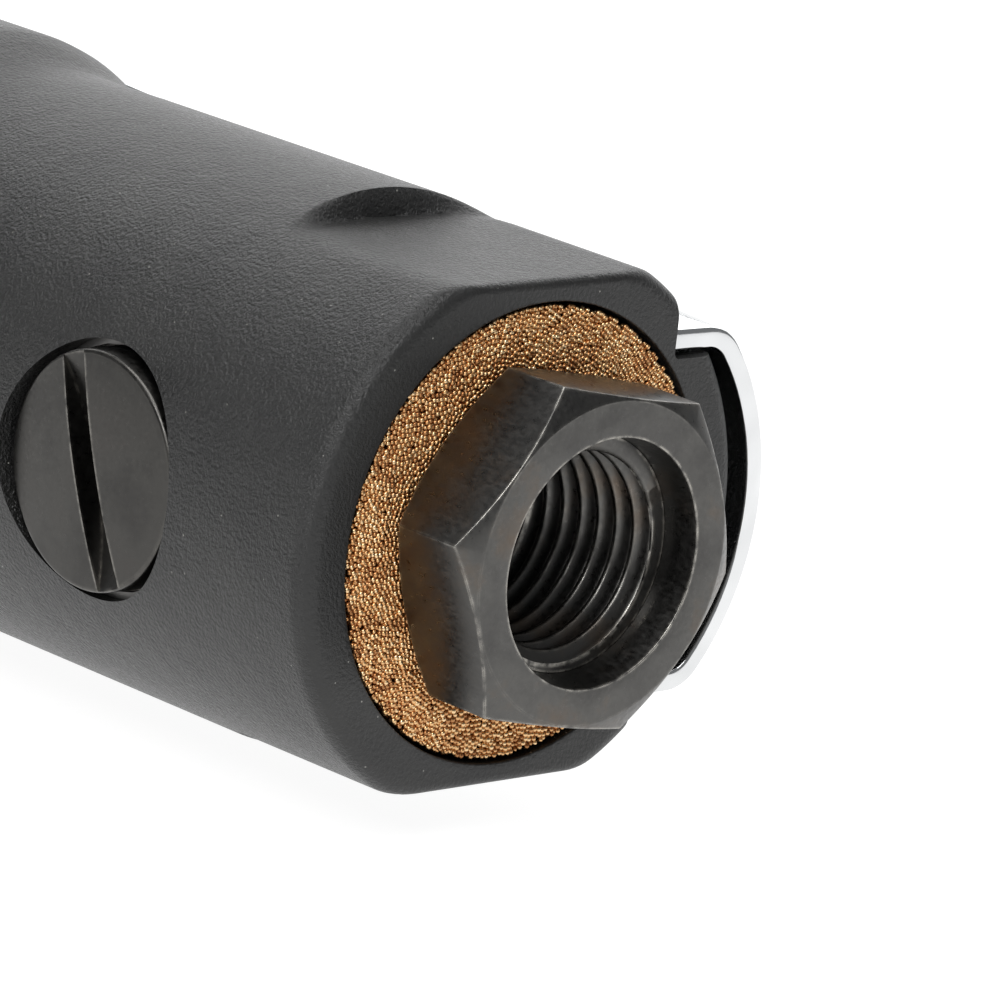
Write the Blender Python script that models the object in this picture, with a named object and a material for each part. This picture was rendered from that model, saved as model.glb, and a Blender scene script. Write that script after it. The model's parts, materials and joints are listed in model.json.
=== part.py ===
"""Rear handle of a lever-throttle air tool, with its ring muffler, inlet, throttle valve and regulator.

The tool's axis is X and air comes in at the +X end. The rear end face of the housing is the plane x = 0.
+Z is the normal of the upper wrench flat and the lever lies on the +Y side. Lengths are in metres.
"""

import math

import bmesh
import bpy
from mathutils import Matrix, Vector

MM = 0.001
GAP = 0.3 * MM  # between two faces that touch on the real part
FIT = 0.15 * MM  # between small pieces that seat in each other
REACH = 2.0 * MM  # how far a cutter runs past the face it opens
DRILL_SLACK = 0.1 * MM  # how much wider than its pin or passage a plain hole is drilled

# Inlet bushing, from the hose thread outwards.
PORT_R = 6.2 * MM  # mean radius of the tapered hose thread
PORT_TAPER = 1 / 32  # fall of that radius per length
PORT_MOUTH_R = 7.3 * MM
PORT_MOUTH_DEPTH = 2.3 * MM
PORT_MOUTH_CHAMFER = 0.35 * MM
PORT_LEAD = 0.5 * MM  # length of the cone from the mouth to the thread
PORT_DEPTH = 12.0 * MM
SCREEN_POCKET_R = 5.6 * MM
SCREEN_POCKET_DEPTH = 3.2 * MM
SCREEN_LEDGE = 1.0 * MM
SCREEN_WALL = 0.4 * MM
SCREEN_SHOULDER = 3.6 * MM  # height at which the screen's cone turns into its cap
SCREEN_HEIGHT = 4.0 * MM
SCREEN_CAP_SHARE = 0.62  # the cap's radius as a share of the cone's foot
SCREEN_RING_THICKNESS = 0.6 * MM
SCREEN_RING_BITE = 0.35 * MM
SCREEN_RING_DROP = 1.2 * MM  # from the floor of the port down to the middle of its ring
BUSHING_WALL = 1.7 * MM
NECK_R = PORT_R + BUSHING_WALL
NECK_DEPTH = 10.8 * MM  # how far the neck reaches in from the end face
HEX_FLATS = 2 * (NECK_R + 1.6 * MM)
HEX_HEIGHT = 6.2 * MM
HEX_TURN = math.radians(50.5)
HEX_CHAMFER = math.radians(30)  # at both ends
SEAL_THICKNESS = 0.8 * MM
EDGE_CHAMFER = 0.5 * MM  # on the neck's end and the joint's rim

# Housing, worked outwards from the bushing's neck.
BOSS_BORE_R = NECK_R + GAP
BOSS_R = BOSS_BORE_R + 2.4 * MM
CHAMBER_R = BOSS_R + 2.3 * MM
BORE_R = CHAMBER_R + 0.55 * MM
BORE_CHAMFER = 0.1 * MM
BODY_R = BORE_R + 3.15 * MM
BARREL_R = BODY_R + 1.4 * MM
LENGTH = 108.0 * MM
STEP_X = 46.0 * MM
STEP_LENGTH = 5.1 * MM
EDGE_R = 1.2 * MM
RING_THICKNESS = 6.0 * MM
RING_RECESS = 0.1 * MM
RING_EDGE = 0.2 * MM
RING_CLEARANCE = 0.28 * MM
RING_SEAT_X = RING_RECESS + RING_THICKNESS + GAP
CHAMBER_END_X = RING_SEAT_X + 3.1 * MM
BOSS_FLOOR_X = NECK_DEPTH + SEAL_THICKNESS + 2 * FIT
INLET_R = 4.0 * MM
FLAT_Z = BODY_R - 1.85 * MM
FLAT_LENGTH = 14.6 * MM
MOTOR_BORE_R = BODY_R - 2.6 * MM
MOTOR_FLOOR_X = LENGTH - 46.0 * MM
JOINT_BORE_R = MOTOR_BORE_R + 0.6 * MM
JOINT_BORE_DEPTH = 14.0 * MM
DOWEL_R = 1.25 * MM
DOWEL_LENGTH = 8.0 * MM
DOWEL_Y = MOTOR_BORE_R - 2.5 * MM
GASKET_THICKNESS = 1.0 * MM

# Throttle valve in the cross bore, along Y.
VALVE_BORE_R = 5.6 * MM
VALVE_X = -(BOSS_FLOOR_X + 1.7 * MM + VALVE_BORE_R)
POCKET_R = 7.5 * MM
POCKET_FLOOR_Y = -(BODY_R - 4.6 * MM)
CLIP_THICKNESS = 0.7 * MM
CLIP_BITE = 0.55 * MM
FLANGE_THICKNESS = 0.8 * MM
SEAT_FLOOR_Y = 4.4 * MM
SEAT_THICKNESS = 2.2 * MM
SEAT_BORE_R = 2.4 * MM
SEAT_LEAD = 0.4 * MM  # length of the cone that opens its bore
SEAT_FLARE = 0.5 * MM
OUTLET_R = 2.6 * MM
OUTLET_Y = SEAT_FLOOR_Y + 1.0 * MM + OUTLET_R
OUTLET_CHAMBER_R = 4.2 * MM
OUTLET_CHAMBER_Y = OUTLET_Y + OUTLET_R + 0.4 * MM
PIN_BUSH_R = 3.3 * MM
PIN_BUSH_SUNK = 0.7 * MM  # below the housing's round surface
PIN_R = 1.25 * MM
PIN_GROOVE_R = 2.75 * MM
EXHAUST_R = 1.4 * MM
EXHAUST_CIRCLE_R = (BOSS_R + CHAMBER_R) / 2
EXHAUST_ANGLE = math.asin((VALVE_BORE_R + 0.55 * MM + EXHAUST_R) / EXHAUST_CIRCLE_R)

# Regulator: a turning cup that fills the valve bore and carries a slotted head.
HEAD_R = POCKET_R - 0.55 * MM
HEAD_TOP_Y = -(BODY_R - 0.25 * MM)
HEAD_CROWN = 0.5 * MM
SLOT_WIDTH = 1.8 * MM
SLOT_DEPTH = 1.7 * MM
SLOT_CUTTER_R = 20.0 * MM
SLOT_TURN = math.radians(21.7)
HEAD_EDGE = 0.2 * MM
CUP_R = VALVE_BORE_R - GAP
CUP_WALL = 1.2 * MM
ORING_R = 0.55 * MM
CUP_GROOVE_DEPTH = 1.0 * MM
CUP_GROOVE_WIDTH = 1.5 * MM
CUP_DEPTH = 6.0 * MM  # from the pocket's floor to the cup's own floor
CUP_RIM_GAP = 0.5 * MM  # between the cup and the valve seat
WINDOW_FOOT = 1.6 * MM
WINDOW_RIM = 1.1 * MM
WINDOW_INSET = 0.4 * MM  # each side, inside the inlet's drilling

# Throttle valve, its spring and the pin that the lever presses.
SEAL_R_FIT = 0.2 * MM
VALVE_SEAL_THICKNESS = 0.75 * MM
VALVE_STUB_R = 1.3 * MM
VALVE_DISC = 1.2 * MM
VALVE_CLEARANCE = 0.7 * MM  # round the disc, inside the regulator's cup
VALVE_SPIGOT_R = 1.6 * MM
VALVE_SPIGOT = 1.8 * MM
SPRING_WIRE_R = 0.35 * MM
SPRING_COIL_R = 2.5 * MM
SPRING_TURNS = 4  # between the closed ends
SPRING_END_TURNS = 0.8
SPRING_CLOSED_PITCH = 2.5  # rise of a closed end, in wire radii
PIN_TIP_CONE = 0.8 * MM
PIN_NOSE_SHARE = 0.75  # the nose's radius as a share of the pin's
PIN_TIP_SHARE = 0.3
PIN_ORING_R = 0.6 * MM
PIN_ORING_DEPTH = 1.9 * MM  # from the bushing's inner end to the middle of the O-ring

# Lever: a sheet-steel channel with a domed back.
LEVER_LENGTH = 96.0 * MM
LEVER_START_X = 0.5 * MM
LEVER_SHEET = 1.2 * MM
LEVER_HALF_WIDTH = 11.2 * MM
LEVER_TAIL_NARROW = 0.35 * MM  # how much narrower each side is at the rear end
LEVER_TAIL_LENGTH = 5.0 * MM
LEVER_BACK_R = 15.5 * MM
LEVER_CORNER_R = 3.0 * MM
LEVER_CLEARANCE = 1.5 * MM
LEVER_OUTER_Y = BODY_R + LEVER_CLEARANCE + LEVER_SHEET
LEVER_RISE = math.radians(7.5)
LEVER_LIP_LENGTH = 14.0 * MM
LEVER_LIP_RISE = 4.0 * MM
LEVER_DEEP_END_X = 27.0 * MM
LEVER_SHALLOW_X = 38.0 * MM
LEVER_SHALLOW = 0.5 * MM
LEVER_GRIP_R = LEVER_OUTER_Y  # the grip's back, round the barrel's axis when it is pressed
LEVER_FLARE = math.radians(40)  # how far the shallow walls splay over the barrel
RABBET_Y = BODY_R - 6.4 * MM
RABBET_Z = LEVER_HALF_WIDTH - LEVER_TAIL_NARROW - LEVER_SHEET - GAP
RABBET_LENGTH = LEVER_SHALLOW_X + 3.0 * MM
FLANGE_FOOT_Y = RABBET_Y + 0.4 * MM
HINGE_R = 1.2 * MM
HINGE_WALL = 0.45 * MM
HINGE_PROUD = 0.4 * MM
HINGE_X = -(CHAMBER_END_X + 1.3 * MM + HINGE_R)
HINGE_Y = RABBET_Y + 2.1 * MM

ROUND = 48  # sides of the large round pieces
BORE_ROUND = 32  # sides of what runs in the valve bore
SMALL_ROUND = 20
HOLE_ROUND = 12
SLOT_ROUND = 64  # sides of the wheel that mills the slot
CROWN_STEPS = 6
SPRING_ROUND = 12  # points in a turn of the spring
CLIP_ROUND = 28
PIN_ROUND = 18


def clear_scene():
    for obj in list(bpy.data.objects):
        bpy.data.objects.remove(obj, do_unlink=True)


def material(name, colour, roughness, metallic):
    made = bpy.data.materials.new(name)
    made.use_nodes = True
    shader = made.node_tree.nodes["Principled BSDF"]
    shader.inputs["Base Color"].default_value = (*colour, 1)
    shader.inputs["Roughness"].default_value = roughness
    shader.inputs["Metallic"].default_value = metallic
    return made


def finish(name, bm, look, at=(0, 0, 0), smooth_angle=math.radians(35)):
    """Turns a bmesh into a named object with its origin at the given place."""
    bmesh.ops.remove_doubles(bm, verts=bm.verts, dist=0.00001 * MM)
    bmesh.ops.recalc_face_normals(bm, faces=bm.faces)
    for face in bm.faces:
        face.smooth = True
    for edge in bm.edges:
        if len(edge.link_faces) == 2 and edge.calc_face_angle() > smooth_angle:
            edge.smooth = False
    mesh = bpy.data.meshes.new(name)
    bm.to_mesh(mesh)
    bm.free()
    obj = bpy.data.objects.new(name, mesh)
    obj.location = at
    if look:
        obj.data.materials.append(look)
    bpy.context.scene.collection.objects.link(obj)
    return obj


def spun(profile, axis="X", steps=ROUND, closed=True):
    """A bmesh spun round an axis from (along, radius) points. An open profile ends on the axis."""
    turn = Matrix.Rotation(math.radians(90), 4, "Z") if axis == "Y" else Matrix()
    bm = bmesh.new()
    verts = [bm.verts.new(turn @ Vector((along, radius, 0))) for along, radius in profile]
    pairs = list(zip(verts, verts[1:]))
    if closed:
        pairs.append((verts[-1], verts[0]))
    edges = [bm.edges.new(pair) for pair in pairs]
    bmesh.ops.spin(
        bm,
        geom=verts + edges,
        cent=(0, 0, 0),
        axis=turn @ Vector((1, 0, 0)),
        angle=math.tau,
        steps=steps,
        use_merge=True,
    )
    bmesh.ops.remove_doubles(bm, verts=bm.verts, dist=0.0001 * MM)
    return bm


def arc(centre, radius, start, end, count):
    """Points of an arc in the plane of the profile, ends included. Angles are in degrees."""
    points = []
    for i in range(count + 1):
        angle = math.radians(start + (end - start) * i / count)
        points.append((centre[0] + radius * math.cos(angle), centre[1] + radius * math.sin(angle)))
    return points


def tube(name, start, end, inner, outer, look, axis="X", at=(0, 0, 0), steps=ROUND):
    profile = [(start, inner), (end, inner), (end, outer), (start, outer)]
    return finish(name, spun(profile, axis, steps), look, at)


def torus(name, along, ring_r, wire_r, look, axis="Y", at=(0, 0, 0)):
    profile = arc((along, ring_r), wire_r, 0, 315, 7)
    return finish(name, spun(profile, axis, BORE_ROUND), look, at)


def prism(outline, start, end, axis="X"):
    """A bmesh from a closed outline, extruded from start to end along an axis."""
    turns = {"X": Matrix(), "Y": Matrix.Rotation(math.radians(90), 4, "Z")}
    turns["Z"] = Matrix.Rotation(math.radians(-90), 4, "Y")
    bm = bmesh.new()
    face = bm.faces.new([bm.verts.new((start, a, b)) for a, b in outline])
    moved = bmesh.ops.extrude_face_region(bm, geom=[face])
    ends = [item for item in moved["geom"] if isinstance(item, bmesh.types.BMVert)]
    bmesh.ops.translate(bm, verts=ends, vec=(end - start, 0, 0))
    bmesh.ops.transform(bm, matrix=turns[axis], verts=bm.verts)
    return bm


def circle(radius, steps, centre=(0, 0), phase=0.5):
    return [
        (
            centre[0] + radius * math.cos(math.tau * (i + phase) / steps),
            centre[1] + radius * math.sin(math.tau * (i + phase) / steps),
        )
        for i in range(steps)
    ]


def box(low, high):
    bm = bmesh.new()
    bmesh.ops.create_cube(bm, size=1)
    low, high = Vector(low), Vector(high)
    bmesh.ops.scale(bm, vec=high - low, verts=bm.verts)
    bmesh.ops.translate(bm, vec=(low + high) / 2, verts=bm.verts)
    return bm


def cut(obj, name, bm, at=(0, 0, 0)):
    """Takes a helper solid out of an object with a Boolean modifier."""
    cutter = finish(f"{obj.name}_{name}", bm, None, at)
    cutter.hide_render = True
    cutter.display_type = "WIRE"
    modifier = obj.modifiers.new(name, "BOOLEAN")
    modifier.operation = "DIFFERENCE"
    modifier.solver = "EXACT"
    modifier.object = cutter
    return cutter


def joined(parts):
    """One bmesh from several that don't touch each other."""
    whole = bmesh.new()
    for part in parts:
        mesh = bpy.data.meshes.new("piece")
        part.to_mesh(mesh)
        part.free()
        whole.from_mesh(mesh)
        bpy.data.meshes.remove(mesh)
    return whole


def exhaust_places():
    """(y, z) of the exhaust drillings: three above the axis and three below."""
    angles = [EXHAUST_ANGLE, math.pi / 2, math.pi - EXHAUST_ANGLE]
    angles += [-angle for angle in angles]
    return [
        (EXHAUST_CIRCLE_R * math.cos(angle), EXHAUST_CIRCLE_R * math.sin(angle))
        for angle in angles
    ]


def housing_profile():
    """Rear cavity, outside and motor bore in one line that starts and ends on the axis."""
    profile = [(VALVE_X, 0), (VALVE_X, INLET_R), (-BOSS_FLOOR_X, INLET_R)]
    profile += [(-BOSS_FLOOR_X, BOSS_BORE_R), (-RING_SEAT_X, BOSS_BORE_R)]
    profile += [(-RING_SEAT_X, BOSS_R), (-CHAMBER_END_X, BOSS_R)]
    profile += [(-CHAMBER_END_X, CHAMBER_R), (-RING_SEAT_X, CHAMBER_R)]
    profile += [(-RING_SEAT_X, BORE_R), (-BORE_CHAMFER, BORE_R), (0, BORE_R + BORE_CHAMFER)]
    profile += arc((-EDGE_R, BODY_R - EDGE_R), EDGE_R, 0, 90, 4)
    profile += [(-STEP_X, BODY_R), (-STEP_X - STEP_LENGTH, BARREL_R)]
    profile += [(-LENGTH + EDGE_CHAMFER, BARREL_R), (-LENGTH, BARREL_R - EDGE_CHAMFER)]
    profile += [(-LENGTH, JOINT_BORE_R), (-LENGTH + JOINT_BORE_DEPTH, JOINT_BORE_R)]
    profile += [(-LENGTH + JOINT_BORE_DEPTH, MOTOR_BORE_R), (-MOTOR_FLOOR_X, MOTOR_BORE_R)]
    profile += [(-MOTOR_FLOOR_X, 0)]
    return profile


def valve_bore_profile():
    """Regulator pocket with its clip groove, valve bore, outlet chamber and bush bore."""
    groove_low = clip_y() - CLIP_THICKNESS / 2 - FIT
    groove_high = clip_y() + CLIP_THICKNESS / 2 + FIT
    outside = BODY_R + REACH
    bush_bore_r = PIN_BUSH_R + GAP
    return [
        (-outside, 0),
        (-outside, POCKET_R),
        (groove_low, POCKET_R),
        (groove_low, POCKET_R + CLIP_BITE),
        (groove_high, POCKET_R + CLIP_BITE),
        (groove_high, POCKET_R),
        (POCKET_FLOOR_Y, POCKET_R),
        (POCKET_FLOOR_Y, VALVE_BORE_R),
        (SEAT_FLOOR_Y, VALVE_BORE_R),
        (SEAT_FLOOR_Y, OUTLET_CHAMBER_R),
        (OUTLET_CHAMBER_Y, OUTLET_CHAMBER_R),
        (OUTLET_CHAMBER_Y, bush_bore_r),
        (outside, bush_bore_r),
        (outside, 0),
    ]


def clip_y():
    return POCKET_FLOOR_Y - FIT - FLANGE_THICKNESS - FIT - CLIP_THICKNESS / 2


def build_housing(look):
    """The casting, then everything that is drilled or milled into it."""
    housing = finish("housing", spun(housing_profile(), closed=False), look)
    cut(housing, "valve_bore", spun(valve_bore_profile(), "Y", BORE_ROUND, closed=False), (VALVE_X, 0, 0))
    holes = [prism(circle(EXHAUST_R, HOLE_ROUND, place), -CHAMBER_END_X + 0.5 * MM, -MOTOR_FLOOR_X - MM)
             for place in exhaust_places()]
    holes.append(prism(circle(OUTLET_R, SMALL_ROUND, (OUTLET_Y, 0)), VALVE_X, -MOTOR_FLOOR_X - MM))
    dowel_bottom = -MOTOR_FLOOR_X + DOWEL_LENGTH / 2 + GAP
    holes.append(prism(circle(DOWEL_R + FIT, HOLE_ROUND, (-DOWEL_Y, 0)), dowel_bottom, -MOTOR_FLOOR_X - MM))
    cut(housing, "drillings", joined(holes))
    outside = BODY_R + REACH
    flats = [
        box((-FLAT_LENGTH, -outside, side * FLAT_Z), (REACH, outside, side * outside))
        for side in (-1, 1)
    ]
    cut(housing, "wrench_flats", joined(flats))
    rabbets = [
        box((-RABBET_LENGTH, RABBET_Y, side * RABBET_Z), (2 * REACH, 2 * outside, side * 2 * outside))
        for side in (-1, 1)
    ]
    cut(housing, "lever_rabbets", joined(rabbets))
    hinge_hole = prism(circle(HINGE_R + DRILL_SLACK, SMALL_ROUND), -outside, outside, "Z")
    cut(housing, "hinge_hole", hinge_hole, (HINGE_X, HINGE_Y, 0))


def hex_back_x():
    """The hexagon's back face, just off the muffler ring."""
    return -RING_RECESS + GAP


def hex_front_x():
    return hex_back_x() + HEX_HEIGHT


def corner_cone(face_x, outward):
    """What takes the corners off one end of the hexagon. Outward is 1 at the front and -1 at the back."""
    face_r = HEX_FLATS / 2
    reach_r = HEX_FLATS / math.sqrt(3) + MM
    drop = (reach_r - face_r) * math.tan(HEX_CHAMFER)
    outside_x = face_x + outward * MM
    profile = [(face_x, face_r), (outside_x, face_r), (outside_x, reach_r)]
    return spun(profile + [(face_x - outward * drop, reach_r)])


def build_inlet_bushing(look):
    """Hexagon with its corners turned off at both ends, neck and stepped bore."""
    outline = circle(HEX_FLATS / math.sqrt(3), 6, phase=HEX_TURN / math.tau * 6)
    bushing = finish("inlet_bushing", prism(outline, hex_back_x(), hex_front_x()), look)
    cut(bushing, "front_chamfer", corner_cone(hex_front_x(), 1))
    cut(bushing, "back_chamfer", corner_cone(hex_back_x(), -1))

    neck = [(hex_back_x() + MM, 0), (hex_back_x() + MM, NECK_R)]
    neck += [(-NECK_DEPTH + EDGE_CHAMFER, NECK_R), (-NECK_DEPTH, NECK_R - EDGE_CHAMFER)]
    neck += [(-NECK_DEPTH, 0)]
    stem = finish("inlet_bushing_neck", spun(neck, closed=False), None)
    stem.hide_render = True
    stem.display_type = "WIRE"
    join = bushing.modifiers.new("neck", "BOOLEAN")
    join.operation = "UNION"
    join.solver = "EXACT"
    join.object = stem
    cut(bushing, "bore", spun(bushing_bore_profile(), closed=False))


def port_floor_x():
    return hex_front_x() - PORT_DEPTH


def screen_floor_x():
    return port_floor_x() - SCREEN_POCKET_DEPTH


def screen_ring_x():
    return port_floor_x() - SCREEN_RING_DROP


def bushing_bore_profile():
    hex_front = hex_front_x()
    port_r = PORT_R - PORT_TAPER * PORT_DEPTH
    mouth_r = PORT_MOUTH_R - PORT_MOUTH_CHAMFER
    groove_r = SCREEN_POCKET_R + SCREEN_RING_BITE + FIT
    groove_half = SCREEN_RING_THICKNESS / 2 + FIT
    ledge_r = SCREEN_POCKET_R - SCREEN_LEDGE
    return [
        (hex_front + REACH, 0),
        (hex_front + REACH, PORT_MOUTH_R),
        (hex_front, PORT_MOUTH_R),
        (hex_front - PORT_MOUTH_CHAMFER, mouth_r),
        (hex_front - PORT_MOUTH_DEPTH, mouth_r),
        (hex_front - PORT_MOUTH_DEPTH - PORT_LEAD, PORT_R),
        (port_floor_x(), port_r),
        (port_floor_x(), SCREEN_POCKET_R),
        (screen_ring_x() + groove_half, SCREEN_POCKET_R),
        (screen_ring_x() + groove_half, groove_r),
        (screen_ring_x() - groove_half, groove_r),
        (screen_ring_x() - groove_half, SCREEN_POCKET_R),
        (screen_floor_x(), SCREEN_POCKET_R),
        (screen_floor_x(), ledge_r),
        (-NECK_DEPTH - REACH, ledge_r),
        (-NECK_DEPTH - REACH, 0),
    ]


def split_ring(inner, outer, opening, steps):
    """Outline of a flat ring with a gap in it."""
    sweep = math.tau - opening
    angles = [opening / 2 + sweep * i / steps for i in range(steps + 1)]
    outline = [(outer * math.cos(a), outer * math.sin(a)) for a in angles]
    return outline + [(inner * math.cos(a), inner * math.sin(a)) for a in reversed(angles)]


def snap_ring(name, x, inner, outer, thickness, opening, look, axis="X", at=(0, 0, 0)):
    """A flat spring ring, centred at x along its axis."""
    bm = prism(split_ring(inner, outer, opening, CLIP_ROUND), x - thickness / 2, x + thickness / 2, axis)
    finish(name, bm, look, at)


def build_inlet_parts(looks):
    """What the inlet passage holds: screen, its ring and the seal under the neck."""
    foot = screen_floor_x() + FIT
    rim_r = SCREEN_POCKET_R - FIT
    cone_r = SCREEN_POCKET_R - SCREEN_LEDGE - FIT
    cap_r = cone_r * SCREEN_CAP_SHARE
    profile = [(foot, cone_r - SCREEN_WALL), (foot, rim_r), (foot + SCREEN_WALL, rim_r)]
    profile += [(foot + SCREEN_WALL, cone_r), (foot + SCREEN_SHOULDER, cap_r), (foot + SCREEN_HEIGHT, 0)]
    profile += [(foot + SCREEN_HEIGHT - SCREEN_WALL, 0)]
    profile += [(foot + SCREEN_SHOULDER - SCREEN_WALL, cap_r - SCREEN_WALL)]
    finish("inlet_screen", spun(profile, steps=SMALL_ROUND), looks["mesh"])
    snap_ring("screen_ring", screen_ring_x(), cone_r + FIT, SCREEN_POCKET_R + SCREEN_RING_BITE,
              SCREEN_RING_THICKNESS, math.radians(40), looks["spring"])
    seal_start = -NECK_DEPTH - FIT
    tube("inlet_seal", seal_start - SEAL_THICKNESS, seal_start, INLET_R + 2 * GAP,
         NECK_R - FIT, looks["copper"])


def build_muffler(look):
    inner = NECK_R + RING_CLEARANCE
    outer = BORE_R - RING_CLEARANCE
    front = -RING_RECESS
    back = front - RING_THICKNESS
    profile = [(front, inner), (back, inner), (back, outer)]
    profile += [(front - RING_EDGE, outer), (front, outer - RING_EDGE)]
    finish("muffler_ring", spun(profile), look)


def seat_low_y():
    return SEAT_FLOOR_Y - FIT - SEAT_THICKNESS


def cup_rim_y():
    return seat_low_y() - CUP_RIM_GAP


def cup_floor_y():
    return POCKET_FLOOR_Y + CUP_DEPTH


def groove_places():
    """Middle of each O-ring groove along the regulator, one each side of the cup's solid floor."""
    edge = CUP_GROOVE_WIDTH / 2 + CUP_RIM_GAP
    return [POCKET_FLOOR_Y + edge, POCKET_FLOOR_Y + CUP_DEPTH - edge - CUP_WALL / 2]


def build_regulator(looks):
    """Slotted head, flange under the clip, grooved body and a cup with a side window."""
    crown_r = (HEAD_R**2 + HEAD_CROWN**2) / (2 * HEAD_CROWN)
    flange_low = POCKET_FLOOR_Y - FIT - FLANGE_THICKNESS
    profile = []
    for i in range(CROWN_STEPS):
        radius = HEAD_R * i / CROWN_STEPS
        profile.append((HEAD_TOP_Y + crown_r - math.sqrt(crown_r**2 - radius**2), radius))
    profile += [(HEAD_TOP_Y + HEAD_CROWN, HEAD_R - HEAD_EDGE)]
    profile += [(HEAD_TOP_Y + HEAD_CROWN + HEAD_EDGE, HEAD_R), (flange_low, HEAD_R)]
    profile += [(flange_low, POCKET_R - GAP), (flange_low + FLANGE_THICKNESS, POCKET_R - GAP)]
    profile += [(flange_low + FLANGE_THICKNESS, CUP_R)]
    for middle in groove_places():
        low = middle - CUP_GROOVE_WIDTH / 2
        high = middle + CUP_GROOVE_WIDTH / 2
        floor = CUP_R - CUP_GROOVE_DEPTH
        profile += [(low, CUP_R), (low, floor), (high, floor), (high, CUP_R)]
    profile += [(cup_rim_y(), CUP_R), (cup_rim_y(), CUP_R - CUP_WALL)]
    profile += [(cup_floor_y(), CUP_R - CUP_WALL), (cup_floor_y(), 0)]
    at = (VALVE_X, 0, 0)
    regulator = finish("regulator", spun(profile, "Y", BORE_ROUND, closed=False), looks["black_steel"], at)

    window_low = cup_floor_y() + WINDOW_FOOT
    window_high = cup_rim_y() - WINDOW_RIM
    window_half = INLET_R - WINDOW_INSET
    window = box((0, window_low, -window_half), (CUP_R + MM, window_high, window_half))
    cut(regulator, "window", window, at)

    slot = prism(circle(SLOT_CUTTER_R, SLOT_ROUND), -SLOT_WIDTH / 2, SLOT_WIDTH / 2)
    cutter = cut(regulator, "slot", slot, (VALVE_X, HEAD_TOP_Y + SLOT_DEPTH - SLOT_CUTTER_R, 0))
    cutter.rotation_euler = (0, -SLOT_TURN, 0)

    ring_r = CUP_R - CUP_GROOVE_DEPTH + FIT + ORING_R
    for name, middle in zip(("regulator_oring_outer", "regulator_oring_inner"), groove_places()):
        torus(name, middle, ring_r, ORING_R, looks["rubber"], at=at)
    snap_ring("regulator_clip", clip_y(), HEAD_R + FIT, POCKET_R + CLIP_BITE - FIT,
              CLIP_THICKNESS, math.radians(28), looks["spring"], "Y", at)


def valve_top_y():
    """Face of the rubber seal, just under the seat."""
    return seat_low_y() - FIT


def build_throttle(looks):
    at = (VALVE_X, 0, 0)
    seat = [(seat_low_y(), SEAT_BORE_R + SEAT_FLARE), (seat_low_y() + SEAT_LEAD, SEAT_BORE_R)]
    seat += [(SEAT_FLOOR_Y - FIT, SEAT_BORE_R), (SEAT_FLOOR_Y - FIT, VALVE_BORE_R - FIT)]
    seat += [(seat_low_y(), VALVE_BORE_R - FIT)]
    finish("valve_seat", spun(seat, "Y", BORE_ROUND), looks["brass"], at)

    valve_r = CUP_R - CUP_WALL - VALVE_CLEARANCE
    seal_low = valve_top_y() - VALVE_SEAL_THICKNESS
    tube("valve_seal", seal_low, valve_top_y(), VALVE_STUB_R + SEAL_R_FIT, valve_r - SEAL_R_FIT,
         looks["rubber"], "Y", at, SMALL_ROUND)

    disc_top = seal_low - FIT
    disc_low = disc_top - VALVE_DISC
    spigot_end = disc_low - VALVE_SPIGOT
    valve = [(valve_top_y(), 0), (valve_top_y(), VALVE_STUB_R), (disc_top, VALVE_STUB_R)]
    valve += [(disc_top, valve_r), (disc_low, valve_r), (disc_low, VALVE_SPIGOT_R)]
    valve += [(spigot_end + GAP, VALVE_SPIGOT_R), (spigot_end, VALVE_SPIGOT_R - GAP), (spigot_end, 0)]
    finish("throttle_valve", spun(valve, "Y", SMALL_ROUND, closed=False), looks["brass"], at)

    pin_end = pin_tip_y()
    pin = [(valve_top_y() + FIT, 0), (valve_top_y() + FIT, PIN_R), (pin_end - PIN_TIP_CONE, PIN_R)]
    pin += [(pin_end - GAP, PIN_R * PIN_NOSE_SHARE), (pin_end, PIN_R * PIN_TIP_SHARE), (pin_end, 0)]
    finish("throttle_pin", spun(pin, "Y", SMALL_ROUND, closed=False), looks["steel"], at)

    build_spring(cup_floor_y() + FIT, disc_low - FIT, looks["spring"], at)
    build_pin_bushing(looks, at)


def pin_tip_y():
    """The pin stops just short of the lever's inner face over it."""
    rise = (-VALVE_X - PIN_R + HINGE_X) * math.tan(LEVER_RISE)
    return LEVER_OUTER_Y - LEVER_SHEET + rise - GAP


def build_spring(low, high, look, at):
    """Compression spring, closed at both ends, as a curve with a round bevel."""
    count = int((SPRING_TURNS + 2 * SPRING_END_TURNS) * SPRING_ROUND)
    curve = bpy.data.curves.new("throttle_spring", "CURVE")
    curve.dimensions = "3D"
    curve.bevel_depth = SPRING_WIRE_R
    curve.bevel_resolution = 1
    curve.use_fill_caps = True
    line = curve.splines.new("POLY")
    line.points.add(count)
    start = low + SPRING_WIRE_R
    end = high - SPRING_WIRE_R
    lead = SPRING_CLOSED_PITCH * SPRING_WIRE_R
    for i in range(count + 1):
        turn = i / SPRING_ROUND
        height = start + lead * min(turn / SPRING_END_TURNS, 1)
        share = min(max((turn - SPRING_END_TURNS) / SPRING_TURNS, 0), 1)
        height += (end - start - 2 * lead) * share
        height += lead * max((turn - SPRING_END_TURNS - SPRING_TURNS) / SPRING_END_TURNS, 0)
        y_angle = math.tau * turn
        line.points[i].co = (SPRING_COIL_R * math.cos(y_angle), height, SPRING_COIL_R * math.sin(y_angle), 1)
    spring = bpy.data.objects.new("throttle_spring", curve)
    spring.location = at
    curve.materials.append(look)
    bpy.context.scene.collection.objects.link(spring)


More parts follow.
